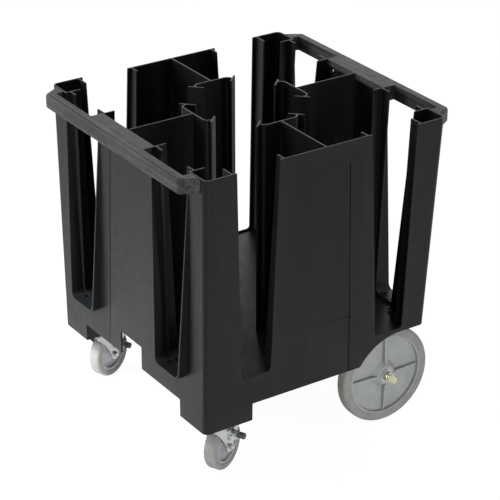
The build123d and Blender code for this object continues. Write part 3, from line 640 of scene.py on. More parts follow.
@dataclass(frozen=True)
class MouldedGrey:
    """Injection-moulded grey polypropylene or thermoplastic rubber.

    An even satin skin with specks of pigment, a light grain and clouds of dust. The grain
    is drawn coarser than the real one, so that it shows. Sizes and depths are
    millimetres, and a pair is a low and a high value.
    """

    name: str
    colour: str
    dusty_colour: str
    roughness: float
    grain_mm: float
    grain_depth: float
    specular: float = 0.4
    roughness_spread: float = 0.06
    cloud_mm: float = 30.0
    speck_mm: float = 2.2
    dusty_clouds: Pair = (0.16, 0.36)

    def material(self) -> Material:
        """Build the material.

        Returns:
            The new material.
        """
        material, tree = new_material(self.name)
        place = add_node(tree, "ShaderNodeTexCoord").outputs["Object"]
        cloud = add_node(
            tree, "ShaderNodeTexNoise",
            {"Vector": place, "Scale": per_mm(self.cloud_mm), "Detail": 5.0, "Roughness": 0.6},
        ).outputs["Fac"]
        specks = add_node(
            tree, "ShaderNodeTexNoise",
            {"Vector": place, "Scale": per_mm(self.speck_mm), "Detail": 2.0},
        ).outputs["Fac"]
        both = add_node(
            tree, "ShaderNodeMath", {0: cloud, 1: specks}, operation="MULTIPLY"
        ).outputs["Value"]
        share = add_node(
            tree, "ShaderNodeMapRange",
            {"Value": both, "From Min": self.dusty_clouds[0],
             "From Max": self.dusty_clouds[1], "To Min": 0.0, "To Max": 1.0},
        ).outputs["Result"]
        colour = mixed_colour(tree, share, self.colour, self.dusty_colour)
        rough = add_node(
            tree, "ShaderNodeMapRange",
            {"Value": cloud, "From Min": NOISE_MIDDLE[0], "From Max": NOISE_MIDDLE[1],
             "To Min": self.roughness - self.roughness_spread,
             "To Max": self.roughness + self.roughness_spread},
        ).outputs["Result"]
        grain = add_node(
            tree, "ShaderNodeTexNoise",
            {"Vector": place, "Scale": per_mm(self.grain_mm), "Detail": 3.0},
        ).outputs["Fac"]
        bump = add_node(
            tree, "ShaderNodeBump",
            {"Height": grain, "Strength": 0.4, "Distance": self.grain_depth * MM},
        ).outputs["Normal"]
        shader = add_node(
            tree, "ShaderNodeBsdfPrincipled",
            {"Base Color": colour, "Roughness": rough, "Normal": bump,
             "Specular IOR Level": self.specular},
        )
        add_node(tree, "ShaderNodeOutputMaterial", {"Surface": shader.outputs["BSDF"]})
        return material


@dataclass(frozen=True)
class ZincPlate:
    """Zinc-plated steel.

    Bright but slightly clouded plating over drawn or pressed steel, with fine scratches
    and a faint spangle that changes the sharpness of its highlights. The scratches are
    drawn wider than real ones, so that they show. Sizes and depths are millimetres.
    """

    name: str
    colour: str
    clouded_colour: str
    roughness: float
    smoother: float = 0.07
    rougher: float = 0.10
    cloud_mm: float = 12.0
    scratch_width: float = 0.8
    scratch_length: float = 14.0
    scratch_depth: float = 0.1

    def material(self) -> Material:
        """Build the material.

        Returns:
            The new material.
        """
        material, tree = new_material(self.name)
        place = add_node(tree, "ShaderNodeTexCoord").outputs["Object"]
        cloud = add_node(
            tree, "ShaderNodeTexNoise",
            {"Vector": place, "Scale": per_mm(self.cloud_mm), "Detail": 5.0, "Roughness": 0.7},
        ).outputs["Fac"]
        across, along = per_mm(self.scratch_width), per_mm(self.scratch_length)
        scratch_place = add_node(
            tree, "ShaderNodeMapping", {"Vector": place, "Scale": [across, along, across]}
        ).outputs["Vector"]
        scratches = add_node(
            tree, "ShaderNodeTexNoise", {"Vector": scratch_place, "Scale": 1.0, "Detail": 3.0}
        ).outputs["Fac"]
        colour = mixed_colour(tree, cloud, self.colour, self.clouded_colour)
        rough = add_node(
            tree, "ShaderNodeMapRange",
            {"Value": cloud, "From Min": NOISE_MIDDLE[0], "From Max": NOISE_MIDDLE[1],
             "To Min": self.roughness - self.smoother,
             "To Max": self.roughness + self.rougher},
        ).outputs["Result"]
        bump = add_node(
            tree, "ShaderNodeBump",
            {"Height": scratches, "Strength": 0.15, "Distance": self.scratch_depth * MM},
        ).outputs["Normal"]
        shader = add_node(
            tree, "ShaderNodeBsdfPrincipled",
            {"Base Color": colour, "Roughness": rough, "Normal": bump, "Metallic": 1.0},
        )
        add_node(tree, "ShaderNodeOutputMaterial", {"Surface": shader.outputs["BSDF"]})
        return material


class Finish(Enum):
    """The finishes of the cart."""

    # soft-edged, nearly black, with hardly any shine
    BODY = MouldedPolyethylene(
        name="black_moulded_polyethylene", colour="121415", worn_colour="303336",
        roughness=0.38, roughness_spread=0.06, grain_mm=1.6, grain_depth=0.12,
        streak_axis=2, streak_strength=0.12, specular=0.16)
    # rubbed grey along its length by hands
    HANDLE = MouldedPolyethylene(
        name="scuffed_handle_polyethylene", colour="262726", worn_colour="5f605c",
        roughness=0.55, roughness_spread=0.08, grain_mm=2.2, grain_depth=0.3,
        streak_axis=1, streak_strength=0.7, specular=0.3)
    # even cool grey, satin
    HUB = MouldedGrey(
        name="grey_polypropylene", colour="9a9c9e", dusty_colour="8d8f90", roughness=0.5,
        grain_mm=1.2, grain_depth=0.08)
    # matt grey, a little warmer and darker than the hub
    TYRE = MouldedGrey(
        name="grey_non_marking_rubber", colour="8b8c89", dusty_colour="7c7d79",
        roughness=0.68, grain_mm=1.4, grain_depth=0.15, specular=0.3)
    # dark, slightly dusty rubber
    KNOB = MouldedGrey(
        name="dark_knob_rubber", colour="3c3d3d", dusty_colour="4b4c4a", roughness=0.55,
        grain_mm=1.0, grain_depth=0.08)
    # milky off-white
    BUSHING = MouldedGrey(
        name="natural_nylon", colour="cfcdc2", dusty_colour="bfbdb0", roughness=0.4,
        grain_mm=1.0, grain_depth=0.03)
    # bright cool silver
    ZINC = ZincPlate(
        name="bright_zinc_plate", colour="c4c6c7", clouded_colour="a9abac", roughness=0.27)
    # pale straw-coloured silver
    YELLOW_ZINC = ZincPlate(
        name="yellow_zinc_plate", colour="c9c8ad", clouded_colour="b4b294", roughness=0.25)


class Palette:
    """Builds each finish once and hands out its material."""

    def __init__(self) -> None:
        """Start with nothing built."""
        self._made: dict[Finish, Material] = {}

    def __getitem__(self, finish: Finish) -> Material:
        """Hand out the material of a finish, built when it is first asked for.

        Args:
            finish: One of the cart's finishes.

        Returns:
            Its material.
        """
        if finish not in self._made:
            self._made[finish] = finish.value.material()
        return self._made[finish]


SLOT_FINISH = {
    "body_plastic": Finish.BODY,
    "handle_plastic": Finish.HANDLE,
    "wheel_plastic": Finish.HUB,
    "tyre_rubber": Finish.TYRE,
    "knob_plastic": Finish.KNOB,
    "bushing_plastic": Finish.BUSHING,
    "zinc_steel": Finish.ZINC,
    "yellow_zinc": Finish.YELLOW_ZINC,
}

SLOT_OF = {part["node"]: part["material_slot"] for part in frame["record"]["subparts"]}
BODY_OF = {
    node: body
    for body, nodes in frame["record"]["behaviour"]["bodies"].items()
    for node in nodes
}


def settle(piece: Piece, palette: Palette, *nodes: str) -> None:
    """Finish a new piece as its nodes are: their body, slot and finish.

    Args:
        piece: Finished object.
        palette: Materials of the cart.
        nodes: CAD nodes that it replaces, all on one body and in one slot.
    """
    slot = SLOT_OF[nodes[0]]
    dress(piece, palette[SLOT_FINISH[slot]])
    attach(piece, BODY_OF[nodes[0]])
    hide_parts(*nodes)
    LOG.info("%s: %d faces", piece.name, len(piece.data.polygons))


def soften_node(
    node: str, name: str, palette: Palette, shortest_edge: float, edge_radius: float,
    sharpness: float,
) -> None:
    """Replace a CAD node with a merged copy whose sharp edges are rounded.

    Args:
        node: Name of the CAD node.
        name: Name of the new piece.
        palette: Materials of the cart.
        shortest_edge: Points nearer than this become one.
        edge_radius: How far the rounding reaches on each side of an edge.
        sharpness: Edges sharper than this many degrees are rounded.
    """
    piece = copy_of_node(node, name)
    flatten(piece, merge=shortest_edge, angle=0.3)
    round_edges(piece, edge_radius, angle=sharpness)
    smooth(piece)
    steady_normals(piece)
    settle(piece, palette, node)


# ---------------------------------------------------------------- the moulded body


@dataclass(frozen=True)
class PanelLine:
    """Thin line down a panel with a shallow hollow beside it; sizes in millimetres.

    A station is where the line is along the face, how far out the skin is there, and its
    height. The hollow is deepest at the line and runs out over its reach.
    """

    outward: tuple[int, int]
    stations: tuple[Point, ...]
    reach: float
    line_width: float = 4.5
    line_depth: float = 3.0
    hollow_depth: float = 1.0
    stand_off: float = 3.0

    def cutters(self) -> Iterator[Piece]:
        """Make the blocks that cut the line and its hollow out of the skin.

        Returns:
            Each cutter in turn.
        """
        line = ((-self.line_width / 2, self.line_depth), (self.line_width / 2, self.line_depth))
        hollow = tuple(sorted(((0.0, self.hollow_depth), (self.reach, 0.0))))
        for low, high in zip(self.stations, self.stations[1:]):
            for sides in (line, hollow):
                yield self.strip(low, high, sides)

    def strip(
        self,
        low: Point,
        high: Point,
        sides: tuple[Pair, ...],
    ) -> Piece:
        """Make one upright cutter.

        Args:
            low: Its lower station.
            high: Its upper station.
            sides: Distance from the line and depth at either side.

        Returns:
            The cutter.
        """
        outward = Vector((*self.outward, 0.0))
        sideways = Vector((abs(self.outward[1]), abs(self.outward[0]), 0.0))

        def corner(side: int, out: int, up: int) -> Vector:
            """Work out one corner of the cutter.

            Args:
                side: -1 or +1 along the face.
                out: -1 inside the skin, +1 outside.
                up: -1 at the lower station, +1 at the upper.

            Returns:
                Its place in millimetres.
            """
            along, skin, height = high if up > 0 else low
            offset, depth = sides[side > 0]
            depth = -self.stand_off if out > 0 else depth
            return sideways * (along + offset) + outward * (skin - depth) + Vector((0, 0, height))

        cutter = block("panel_line_cutter", corner)
        edit_all(cutter, lambda: bpy.ops.mesh.normals_make_consistent(inside=False))
        return cutter


SIDE_STATIONS = ((75.0, 334.4, 190.0), (72.4, 338.0, 351.0), (65.9, 338.0, 752.0))
PANEL_LINES = (
    PanelLine((0, -1), SIDE_STATIONS, -122.0, line_width=2.0, line_depth=2.0),
    PanelLine((0, 1), SIDE_STATIONS, -122.0, line_width=2.0, line_depth=2.0),
    PanelLine((-1, 0), ((104.9, 332.8, 190.0), (68.0, 333.9, 766.0)), 43.0),
    PanelLine((1, 0), ((101.0, 301.8, 250.0), (68.0, 331.7, 766.0)), 43.0),
)


@dataclass
class MouldedBody:
    """The one-piece body: tub, legs, hangers, dividers and posts grown together."""

    palette: Palette
    edge_radius: float = 1.3 * MM
    shortest_edge: float = 1.0 * MM
    top: float = 806.0 * MM
    side_at_top: float = 348.0 * MM
    side_lean: float = 0.022
    caster_end: float = -333.0 * MM
    wall: float = 5.0 * MM
    seams: tuple[float, ...] = (198.0 * MM, 268.0 * MM, 273.0 * MM)
    seam_weld: float = 2.2 * MM
    flange_foot_heights: Pair = (267.0 * MM, 279.0 * MM)
    flange_foot_reach: Pair = (256.0 * MM, 327.0 * MM)
    corner_from: Pair = (285.0 * MM, 300.0 * MM)
    leg_corner: Pair = (-200.5 * MM, 222.0 * MM)
    leg_growth: float = 1.004
    nodes: tuple[str, ...] = (
        "base_tub", "right_caster_leg", "left_caster_leg", "right_axle_hanger",
        "left_axle_hanger", "right_divider", "left_divider", "caster_end_divider",
        "wheel_end_divider", "right_post_caster_end", "left_post_caster_end",
        "right_post_wheel_end", "left_post_wheel_end",
    )

    def build(self) -> None:
        """Grow the nodes together, soften every edge and cut the panel lines."""
        body = copy_of_node(self.nodes[0], "moulded_body")
        for node in self.nodes[1:]:
            part = copy_of_node(node, "part_of_" + node)
            if node.endswith("_leg"):
                self.bed_leg(part)
            combine(body, part, "UNION")
        edit_chosen(
            body, self.on_corner_seam,
            lambda: bpy.ops.mesh.remove_doubles(threshold=self.seam_weld),
        )
        flatten(body, merge=self.shortest_edge, angle=0.6)
        round_edges(
            body, self.edge_radius,
            skip=lambda spot: self.on_corner_seam(spot) or self.at_flange_foot(spot),
        )
        edit_chosen(
            body,
            lambda spot: spot.z > self.top,
            lambda: bpy.ops.transform.resize(
                value=(1.0, 1.0, 0.0), center_override=(0.0, 0.0, self.top)),
        )
        for line in PANEL_LINES:
            for cutter in line.cutters():
                combine(body, cutter, "DIFFERENCE")
        smooth(body)
        steady_normals(body)
        settle(body, self.palette, *self.nodes)

    def on_corner_seam(self, spot: Vector) -> bool:
        """True on the round corners, at the heights where the nodes meet."""
        at_corner = abs(spot.x) > self.corner_from[0] and abs(spot.y) > self.corner_from[1]
        return at_corner and any(abs(spot.z - height) < 0.05 * MM for height in self.seams)

    def at_flange_foot(self, spot: Vector) -> bool:
        """Find where the end flanges run out to a thin edge on the deck.

        Args:
            spot: Place of a vertex.

        Returns:
            Whether it is there.
        """
        low, high = self.flange_foot_heights
        near, far = self.flange_foot_reach
        return low < spot.z < high and near < abs(spot.x) < far

    def bed_leg(self, leg: Piece) -> None:
        """Let the faces of a leg that lie on the inside of the skirt sink a little into it.

        Args:
            leg: Copy of one leg.
        """
        side = 1 if leg.data.vertices[0].co.y > 0 else -1

        def inside_skirt(spot: Vector) -> bool:
            """Tell the part of the leg that stands inside the skirt.

            Args:
                spot: Place of a vertex.

            Returns:
                Whether it is inside.
            """
            skin = self.side_at_top - self.side_lean * (self.top - spot.z)
            clear = self.wall - 0.1 * MM
            above = spot.z > self.seams[0] - 0.1 * MM
            return above and abs(spot.y) < skin - clear and spot.x > self.caster_end + clear

        x, y = self.leg_corner
        edit_chosen(
            leg, inside_skirt,
            lambda: bpy.ops.transform.resize(
                value=(self.leg_growth, self.leg_growth, 1.0),
                center_override=(x, side * y, 0.0)),
        )


# ---------------------------------------------------------------- handles and fixings


@dataclass
class Handles:
    """The two grab handles, their raw edges softened."""

    palette: Palette
    shortest_edge: float = 0.03 * MM
    edge_radius: float = 1.5 * MM
    sharpness: float = 50.0

    def build(self) -> None:
        """Soften both handles."""
        for end in ("caster_end", "wheel_end"):
            soften_node(f"{end}_handle", f"{end}_grab_handle", self.palette,
                        self.shortest_edge, self.edge_radius, self.sharpness)


@dataclass
class PressedParts:
    """Small steel parts and brake shoes, merged and with broken edges."""

    palette: Palette
    shortest_edge: float = 0.15 * MM
    edge_radius: float = 0.35 * MM
    sharpness: float = 40.0
    shared: tuple[str, ...] = ("handle_screws", "caster_plate_bolts", "caster_plate_nuts")
    on_each_side: tuple[str, ...] = (
        "axle_spacer", "caster_fork", "caster_brake_lever", "caster_brake_shoe",
        "caster_plate", "caster_kingpin",
    )

    def build(self) -> None:
        """Soften every part."""
        sided = (f"{side}_{part}" for side in ("right", "left") for part in self.on_each_side)
        for node in (*self.shared, *sided):
            soften_node(node, f"{node}_finished", self.palette,
                        self.shortest_edge, self.edge_radius, self.sharpness)


# ---------------------------------------------------------------- large wheels and axle


@dataclass
class Axle:
    """Steel axle right across the cart, threaded at both ends; sizes in millimetres."""

    palette: Palette
    x: float = 218.0
    height: float = 127.0
    half_length: float = 337.0
    radius: float = 8.0
    root_radius: float = 7.2
    thread_length: float = 36.0
    pitch: float = 2.0
    chamfer: float = 1.5

    def build(self) -> None:
        """Spin the axle with the threads' ridges and lay it across the cart."""
        half = [(0.0, -self.half_length), (self.root_radius - self.chamfer, -self.half_length)]
        count = round(self.thread_length / self.pitch)
        for index in range(count):
            start = -self.half_length + self.chamfer + index * self.pitch
            half.append((self.root_radius, start))
            half.append((self.radius, start + self.pitch / 2))
        half.append((self.radius, -self.half_length + self.chamfer + self.thread_length))
        axle = spun("axle_rod", mirrored(half), steps=32)
        put(axle, move(self.x, 0.0, self.height) @ turn(90.0, "X"))
        smooth(axle, 25.0)
        settle(axle, self.palette, "axle")


@dataclass
class LargeWheel:
    """One large wheel and what holds it; sizes in millimetres, heights from its middle."""

    palette: Palette
    name: str
    side: int
    middle: Point = (218.0, 282.0, 127.0)
    radius: float = 127.0
    half_width: float = 17.0
    shoulder: float = 8.0
    hub_radius: float = 105.0
    hub_half_width: float = 16.5
    rim: float = 4.5
    disc_half: float = 3.0
    boss_half: float = 17.7
    boss_base: float = 36.0
    boss_tip: float = 24.0
    bore: float = 12.05
    rib_count: int = 4
    rib_start: float = 28.0
    rib_root_half: float = 3.0
    rib_tip_half: float = 2.2
    rib_root_height: float = 17.0
    rib_tip_height: float = 11.0
    rib_round: float = 0.8
    tyre_edge: float = 1.6
    washer_radius: float = 17.0
    washer_bore: float = 8.05
    washer_faces: Pair = (18.0, 20.5)
    nut_flats: float = 24.0
    nut_height: float = 13.0
    collar_radius: float = 10.5
    collar_height: float = 4.0
    collar_sunk: float = 1.0

    def place(self) -> Matrix:
        """Where the wheel's own frame lies, its +Z outwards."""
        x, y, z = self.middle
        return move(x, self.side * y, z) @ turn(-90.0 * self.side, "X")

    def build(self) -> None:
        """Build hub, tyre, washers and nut."""
        self.hub()
        self.tyre()
        self.washers()
        self.nut()

    def hub(self) -> None:
        """Spin the dished hub and grow the ribs onto it."""
        rim = self.hub_radius - self.rim
        half = [
            (self.bore, self.boss_half, 0.6), (self.boss_tip, self.boss_half, 2.0),
            (self.boss_base, self.disc_half, 4.0), (rim, self.disc_half, 5.0),
            (rim, self.hub_half_width, 1.0), (self.hub_radius, self.hub_half_width, 1.0),
        ]
        hub = spun(f"{self.name}_wheel_dished_hub", rounded(mirrored(half)), steps=96)
        end = self.hub_radius - self.rim / 2

        def corner(x: int, y: int, z: int) -> Point:
            """Work out one corner of the first rib.

            Args:
                x: -1 at the boss, +1 at the rim.
                y: -1 or +1 across the rib.
                z: -1 or +1 along the axle.

            Returns:
                Its place in millimetres.
            """
            if x > 0:
                return end, y * self.rib_tip_half, z * self.rib_tip_height
            return self.rib_start, y * self.rib_root_half, z * self.rib_root_height

        rib = block("rib", corner)
        round_edges(rib, self.rib_round * MM)
        for index in range(self.rib_count):
            combine(hub, twin(rib, turn(360.0 / self.rib_count * index, "Z")), "UNION")
        bpy.data.objects.remove(rib)
        put(hub, self.place())
        smooth(hub, 30.0)
        steady_normals(hub)
        settle(hub, self.palette, f"{self.name}_wheel_hub")

    def tyre(self) -> None:
        """Spin the tyre with its round shoulders."""
        corners = mirrored([
            (self.hub_radius, self.half_width, self.tyre_edge),
            (self.radius, self.half_width, self.shoulder),
        ])
        tyre = spun(f"{self.name}_wheel_solid_tyre", rounded(corners, steps=6), steps=128)
        put(tyre, self.place())
        smooth(tyre, 40.0)
        settle(tyre, self.palette, f"{self.name}_wheel_tyre")

    def washers(self) -> None:
        """Spin a washer for either face of the boss."""
        low, high = self.washer_faces
        corners = [
            (self.washer_bore, low, 0.3), (self.washer_radius, low, 0.5),
            (self.washer_radius, high, 0.5), (self.washer_bore, high, 0.3),
        ]
        outer = spun(f"{self.name}_wheel_washers", rounded(corners, steps=2), steps=48)
        joined(outer, twin(outer, turn(180.0, "X")))
        put(outer, self.place())
        smooth(outer)
        settle(outer, self.palette, f"{self.name}_axle_washers")

    def nut(self) -> None:
        """Build the lock nut: a hexagon with turned corners and a round collar."""
        low = self.washer_faces[1]
        nut = hexagon_nut(f"{self.name}_axle_lock_nut", self.nut_flats, self.nut_height)
        high = self.nut_height + self.collar_height
        sunk = self.nut_height - self.collar_sunk
        corners = [
            (self.washer_bore, sunk, 0.0), (self.collar_radius, sunk, 0.0),
            (self.collar_radius, high, 1.4), (self.washer_bore, high, 0.4),
        ]
        joined(nut, spun("collar", rounded(corners), steps=48))
        put(nut, self.place() @ move(0.0, 0.0, low))
        smooth(nut)
        settle(nut, self.palette, f"{self.name}_axle_nut")


NUT_FACE_SHARE = 0.97      # round flat of a nut's face, as a share of its flats
NUT_CLEARANCE = 0.2        # millimetres by which the turning cone clears the corners
NUT_CORNER_SLOPE = 0.58    # tangent of the 30 degrees to which the corners are turned


def hexagon_nut(name: str, flats: float, height: float) -> Piece:
    """Make a hexagon along +Z with the corners of both faces turned off.

    Args:
        name: Name of the new object.
        flats: Distance across flats in millimetres.
        height: Height in millimetres.

    Returns:
        The new object, standing on the origin.
    """
    bpy.ops.object.select_all(action="DESELECT")
    bpy.ops.mesh.primitive_cylinder_add(
        vertices=6, radius=flats / math.sqrt(3.0) * MM, depth=height * MM)
    nut = bpy.context.object
    nut.name = nut.data.name = name
    put(nut, move(0.0, 0.0, height / 2))
    face = flats / 2 * NUT_FACE_SHARE
    reach = flats / math.sqrt(3.0) + NUT_CLEARANCE
    slope = (reach - face) * NUT_CORNER_SLOPE
    cone = spun("turned_corners", [
        (0.0, 0.0), (face, 0.0), (reach, slope), (reach, height - slope), (face, height),
        (0.0, height)], steps=48)
    combine(nut, cone, "INTERSECT")
    return nut


# ---------------------------------------------------------------- swivel casters


@dataclass
class Caster:
    """Turned parts of one swivel caster; sizes in millimetres.

    In the caster's own frame the swivel axis is Z and the wheel trails towards +X. The
    brake is on its -Y side.
    """

    palette: Palette
    name: str
    side: int
    heading: float
    swivel: Pair = (-270.0, 273.0)
    trail: float = 36.0
    radius: float = 62.5
    half_width: float = 16.0
    shoulder: float = 6.0
    core_radius: float = 47.0
    core_half_width: float = 14.0
    core_rim: float = 7.0
    tyre_edge: float = 2.0
    disc_half: float = 5.0
    boss_base: float = 16.0
    boss_tip: float = 14.0
    boss_half: float = 19.7
    bore: float = 6.6
    fork_half: float = 23.0
    bolt_radius: float = 4.0
    nut_flats: float = 13.0
    nut_height: float = 6.5
    head_height: float = 5.0
    bolt_end: float = 3.0
    lever_face: float = 26.3
    foot_knob: Four = (78.0, 72.0, 8.0, 13.0)
    release_knob: Four = (41.0, 103.0, 5.5, 8.0)
    pivot: Pair = (38.0, 88.0)
    pivot_head: Pair = (7.0, 2.0)
    pivot_reach: Pair = (18.8, 26.6)
    pivot_tail: Pair = (5.5, 20.0)
    pivot_shank: float = 4.0

    def place(self, x: float, z: float) -> Matrix:
        """Find where a part's own frame lies, its +Z towards the caster's brake side.

        Args:
            x: How far the part trails behind the swivel axis.
            z: Its height above the floor.

        Returns:
            The matrix of that frame.
        """
        seat_x, seat_y = self.swivel
        seat = move(seat_x, self.side * seat_y, 0.0) @ turn(self.heading, "Z")
        return seat @ move(x, 0.0, z) @ turn(90.0, "X")

    def build(self) -> None:
        """Build wheel, bolt, nut, knobs and pivot."""
        self.wheel()
        self.bolt_and_nut()
        self.knobs()
        self.rivet()

    def wheel(self) -> None:
        """Spin core and tyre."""
        rim = self.core_radius - self.core_rim
        half = [
            (self.bore, self.boss_half, 0.5), (self.boss_tip, self.boss_half, 1.2),
            (self.boss_base, self.disc_half, 3.0), (rim, self.disc_half, 3.0),
            (rim, self.core_half_width, 1.0), (self.core_radius, self.core_half_width, 0.8),
        ]
        core = spun(f"{self.name}_caster_dished_core", rounded(mirrored(half)), steps=72)
        corners = mirrored([
            (self.core_radius, self.half_width, self.tyre_edge),
            (self.radius, self.half_width, self.shoulder),
        ])
        tyre = spun(f"{self.name}_caster_solid_tyre", rounded(corners, steps=5), steps=96)
        for piece, node in ((core, "wheel_core"), (tyre, "wheel_tyre")):
            put(piece, self.place(self.trail, self.radius))
            smooth(piece, 40.0)
            settle(piece, self.palette, f"{self.name}_caster_{node}")

    def bolt_and_nut(self) -> None:
        """Build the axle bolt with its hexagon head, and the nut on the brake side."""
        at = self.place(self.trail, self.radius)
        end = self.fork_half + self.nut_height + self.bolt_end
        shank = spun(f"{self.name}_caster_hex_bolt", [
            (0.0, -self.fork_half - 1.0), (self.bolt_radius, -self.fork_half - 1.0),
            (self.bolt_radius, end - 0.8), (self.bolt_radius - 0.8, end), (0.0, end)], steps=24)
        head = hexagon_nut("head", self.nut_flats, self.head_height)
        put(head, move(0.0, 0.0, -self.fork_half - self.head_height))
        put(joined(shank, head), at)
        smooth(shank)
        settle(shank, self.palette, f"{self.name}_caster_axle_bolt")
        nut = hexagon_nut(f"{self.name}_caster_hex_nut", self.nut_flats, self.nut_height)
        put(nut, at @ move(0.0, 0.0, self.fork_half))
        smooth(nut)
        settle(nut, self.palette, f"{self.name}_caster_axle_nut")

    def knobs(self) -> None:
        """Spin both rubber knobs of the brake lever."""
        made = []
        for x, z, radius, length in (self.foot_knob, self.release_knob):
            corners = [(0.0, 0.0, 0.0), (radius, 0.0, 0.6), (radius, length, radius / 3),
                       (0.0, length, 0.0)]
            outline = rounded(corners, steps=5)
            knob = spun(f"{self.name}_caster_rubber_knobs", outline, steps=32)
            made.append(put(knob, self.place(x, z) @ move(0.0, 0.0, self.lever_face)))
        knobs = joined(*made)
        smooth(knobs, 40.0)
        settle(knobs, self.palette, f"{self.name}_caster_brake_knobs")

    def rivet(self) -> None:
        """Spin the pivot rivet with its domed head."""
        radius, height = self.pivot_head
        low, high = self.pivot_reach
        tail, step = self.pivot_tail
        corners = [
            (0.0, low, 0.0), (tail, low, 0.5), (tail, step, 0.0),
            (self.pivot_shank, step, 0.0), (self.pivot_shank, high, 0.0),
            (radius, high, 0.3), (radius, high + height, 1.2), (0.0, high + height, 0.0),
        ]
        rivet = spun(f"{self.name}_caster_pivot_rivet", rounded(corners, steps=3), steps=32)
        put(rivet, self.place(*self.pivot))
        smooth(rivet, 40.0)
        settle(rivet, self.palette, f"{self.name}_caster_brake_pivot")


# ---------------------------------------------------------------- carried-over nodes


def dress_nodes(palette: Palette) -> None:
    """Give every CAD node that stays the finish of its slot.

    Args:
        palette: Materials of the cart.
    """
    for name, node in frame["nodes"].items():
        if not node.hide_render:
            dress(node, palette[SLOT_FINISH[SLOT_OF[name]]])
            LOG.info("%s: kept", name)


# ---------------------------------------------------------------- studio


@dataclass(frozen=True)
class SoftLight:
    """One rectangular soft light; places and sizes in metres, power in watts."""

    name: str
    at: Point
    towards: Point
    wide: float
    high: float
    power: float
    spread_degrees: float = 180.0

    def build(self) -> None:
        """Hang the light and point it."""
        data = bpy.data.lights.new(self.name, "AREA")
        data.shape = "RECTANGLE"
        data.size = self.wide
        data.size_y = self.high
        data.energy = self.power
        data.spread = math.radians(self.spread_degrees)
        lamp = bpy.data.objects.new(self.name, data)
        ROOT_COLLECTION.objects.link(lamp)
        lamp.location = self.at
        away = Vector(self.at) - Vector(self.towards)
        lamp.rotation_euler = away.to_track_quat("Z", "Y").to_euler()


SOFT_LIGHTS = (
    SoftLight("left_near_light", (-1.3, 0.3, 1.4), (-0.75, 0.35, 0.0), 0.5, 0.5, 13.0, 60.0),
    SoftLight("left_far_light", (-1.9, 1.2, 1.3), (-0.9, 0.9, 0.0), 1.0, 1.0, 30.0),
    SoftLight("right_beam", (1.8, -1.6, 1.6), (1.15, -1.25, 0.0), 0.6, 0.6, 5.0, 60.0),
    SoftLight("low_front_light", (-0.8, -3.4, 0.35), (0.0, -0.3, 0.12), 0.5, 0.4, 3.4, 40.0),
    SoftLight("back_softbox", (1.9, 2.6, 2.2), (0.0, 0.0, 0.7), 2.2, 1.6, 12.0),
    SoftLight("top_softbox", (0.2, 0.2, 2.9), (0.0, 0.0, 0.4), 2.0, 2.0, 8.0),
)


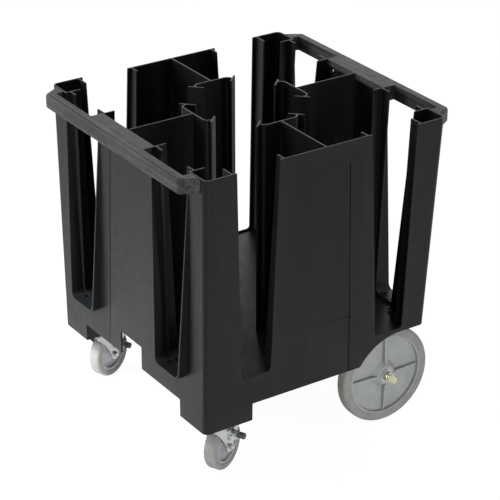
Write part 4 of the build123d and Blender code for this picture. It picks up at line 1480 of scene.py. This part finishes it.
@dataclass(frozen=True)
class Studio:
    """White floor, soft lights and the camera; places and sizes in metres."""

    camera_at: Point = (-2.51238, -3.81564, 2.66134)
    camera_right: Point = (0.833668, -0.552266, -0.000770)
    camera_up: Point = (0.244884, 0.368411, 0.896831)
    focal_pixels: float = 2064.24
    frame_pixels: float = 500.0
    sensor: float = 36.0
    farthest_seen: float = 60.0
    floor_near: float = 6.0
    floor_reach: float = 12.0
    floor_turn: float = math.radians(-33.5)
    floor_paint: float = 0.86
    floor_glow: float = 1.11
    floor_glow_share: float = 0.86
    air_light: float = 0.30
    air_seen: float = 1.0

    def build(self) -> None:
        """Set up floor, world, lights and camera."""
        self.floor()
        self.world()
        for light in SOFT_LIGHTS:
            light.build()
        self.camera()
        bpy.context.scene.view_settings.view_transform = "Standard"

    def floor(self) -> None:
        """Lay the white floor, which keeps the cart's shadow."""
        bpy.ops.object.select_all(action="DESELECT")
        bpy.ops.mesh.primitive_plane_add(size=2.0)
        floor = bpy.context.object
        floor.name = "studio_floor"
        near, wide = self.floor_near, self.floor_reach
        size = Matrix.Diagonal((wide, (wide + near) / 2, 1.0, 1.0))
        middle = Matrix.Translation((0.0, (wide - near) / 2, 0.0))
        put(floor, Matrix.Rotation(self.floor_turn, 4, "Z") @ middle @ size)
        material, tree = new_material("white_sweep")
        share = add_node(
            tree, "ShaderNodeMath", {0: seen_directly(tree), 1: self.floor_glow_share},
            operation="MULTIPLY",
        ).outputs["Value"]
        paint = add_node(
            tree, "ShaderNodeBsdfDiffuse", {"Color": grey(self.floor_paint)}
        ).outputs["BSDF"]
        glow = add_node(
            tree, "ShaderNodeEmission", {"Color": grey(1.0), "Strength": self.floor_glow}
        ).outputs["Emission"]
        mixed = add_node(tree, "ShaderNodeMixShader", {0: share, 1: paint, 2: glow})
        add_node(tree, "ShaderNodeOutputMaterial", {"Surface": mixed.outputs["Shader"]})
        dress(floor, material)
        floor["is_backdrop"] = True

    def world(self) -> None:
        """Surround the cart with an even, plain light."""
        world = bpy.data.worlds.new("studio_air")
        bpy.context.scene.world = world
        world.use_nodes = True
        tree = world.node_tree
        tree.nodes.clear()
        strength = add_node(
            tree, "ShaderNodeMapRange",
            {"Value": seen_directly(tree), "From Min": 0.0, "From Max": 1.0,
             "To Min": self.air_light, "To Max": self.air_seen},
        ).outputs["Result"]
        air = add_node(
            tree, "ShaderNodeBackground", {"Color": grey(1.0), "Strength": strength})
        add_node(tree, "ShaderNodeOutputWorld", {"Surface": air.outputs["Background"]})

    def camera(self) -> None:
        """Put the camera where the photograph was taken from."""
        data = bpy.data.cameras.new("camera")
        data.sensor_width = self.sensor
        data.sensor_fit = "HORIZONTAL"
        data.lens = self.focal_pixels / self.frame_pixels * self.sensor
        data.clip_end = self.farthest_seen
        camera = bpy.data.objects.new("camera", data)
        ROOT_COLLECTION.objects.link(camera)
        right, up = Vector(self.camera_right), Vector(self.camera_up)
        stance = Matrix((right, up, right.cross(up))).transposed().to_4x4()
        camera.matrix_world = Matrix.Translation(self.camera_at) @ stance
        bpy.context.scene.camera = camera


# ---------------------------------------------------------------- all together


def main() -> None:
    """Build the cart's looks in order, then work out the size of what was built."""
    logging.basicConfig(level=logging.INFO, format="%(name)s: %(message)s", stream=sys.stdout)
    bpy.ops.object.select_all(action="DESELECT")
    palette = Palette()
    Studio().build()
    MouldedBody(palette).build()
    Handles(palette).build()
    PressedParts(palette).build()
    Axle(palette).build()
    for name, side, heading in (("right", -1, 26.0), ("left", 1, 22.0)):
        LargeWheel(palette, name, side).build()
        Caster(palette, name, side, heading).build()
    dress_nodes(palette)
    [[list(corner) for corner in box] for box in (CAD_BOX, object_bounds())]


if __name__ == "__main__":
    main()
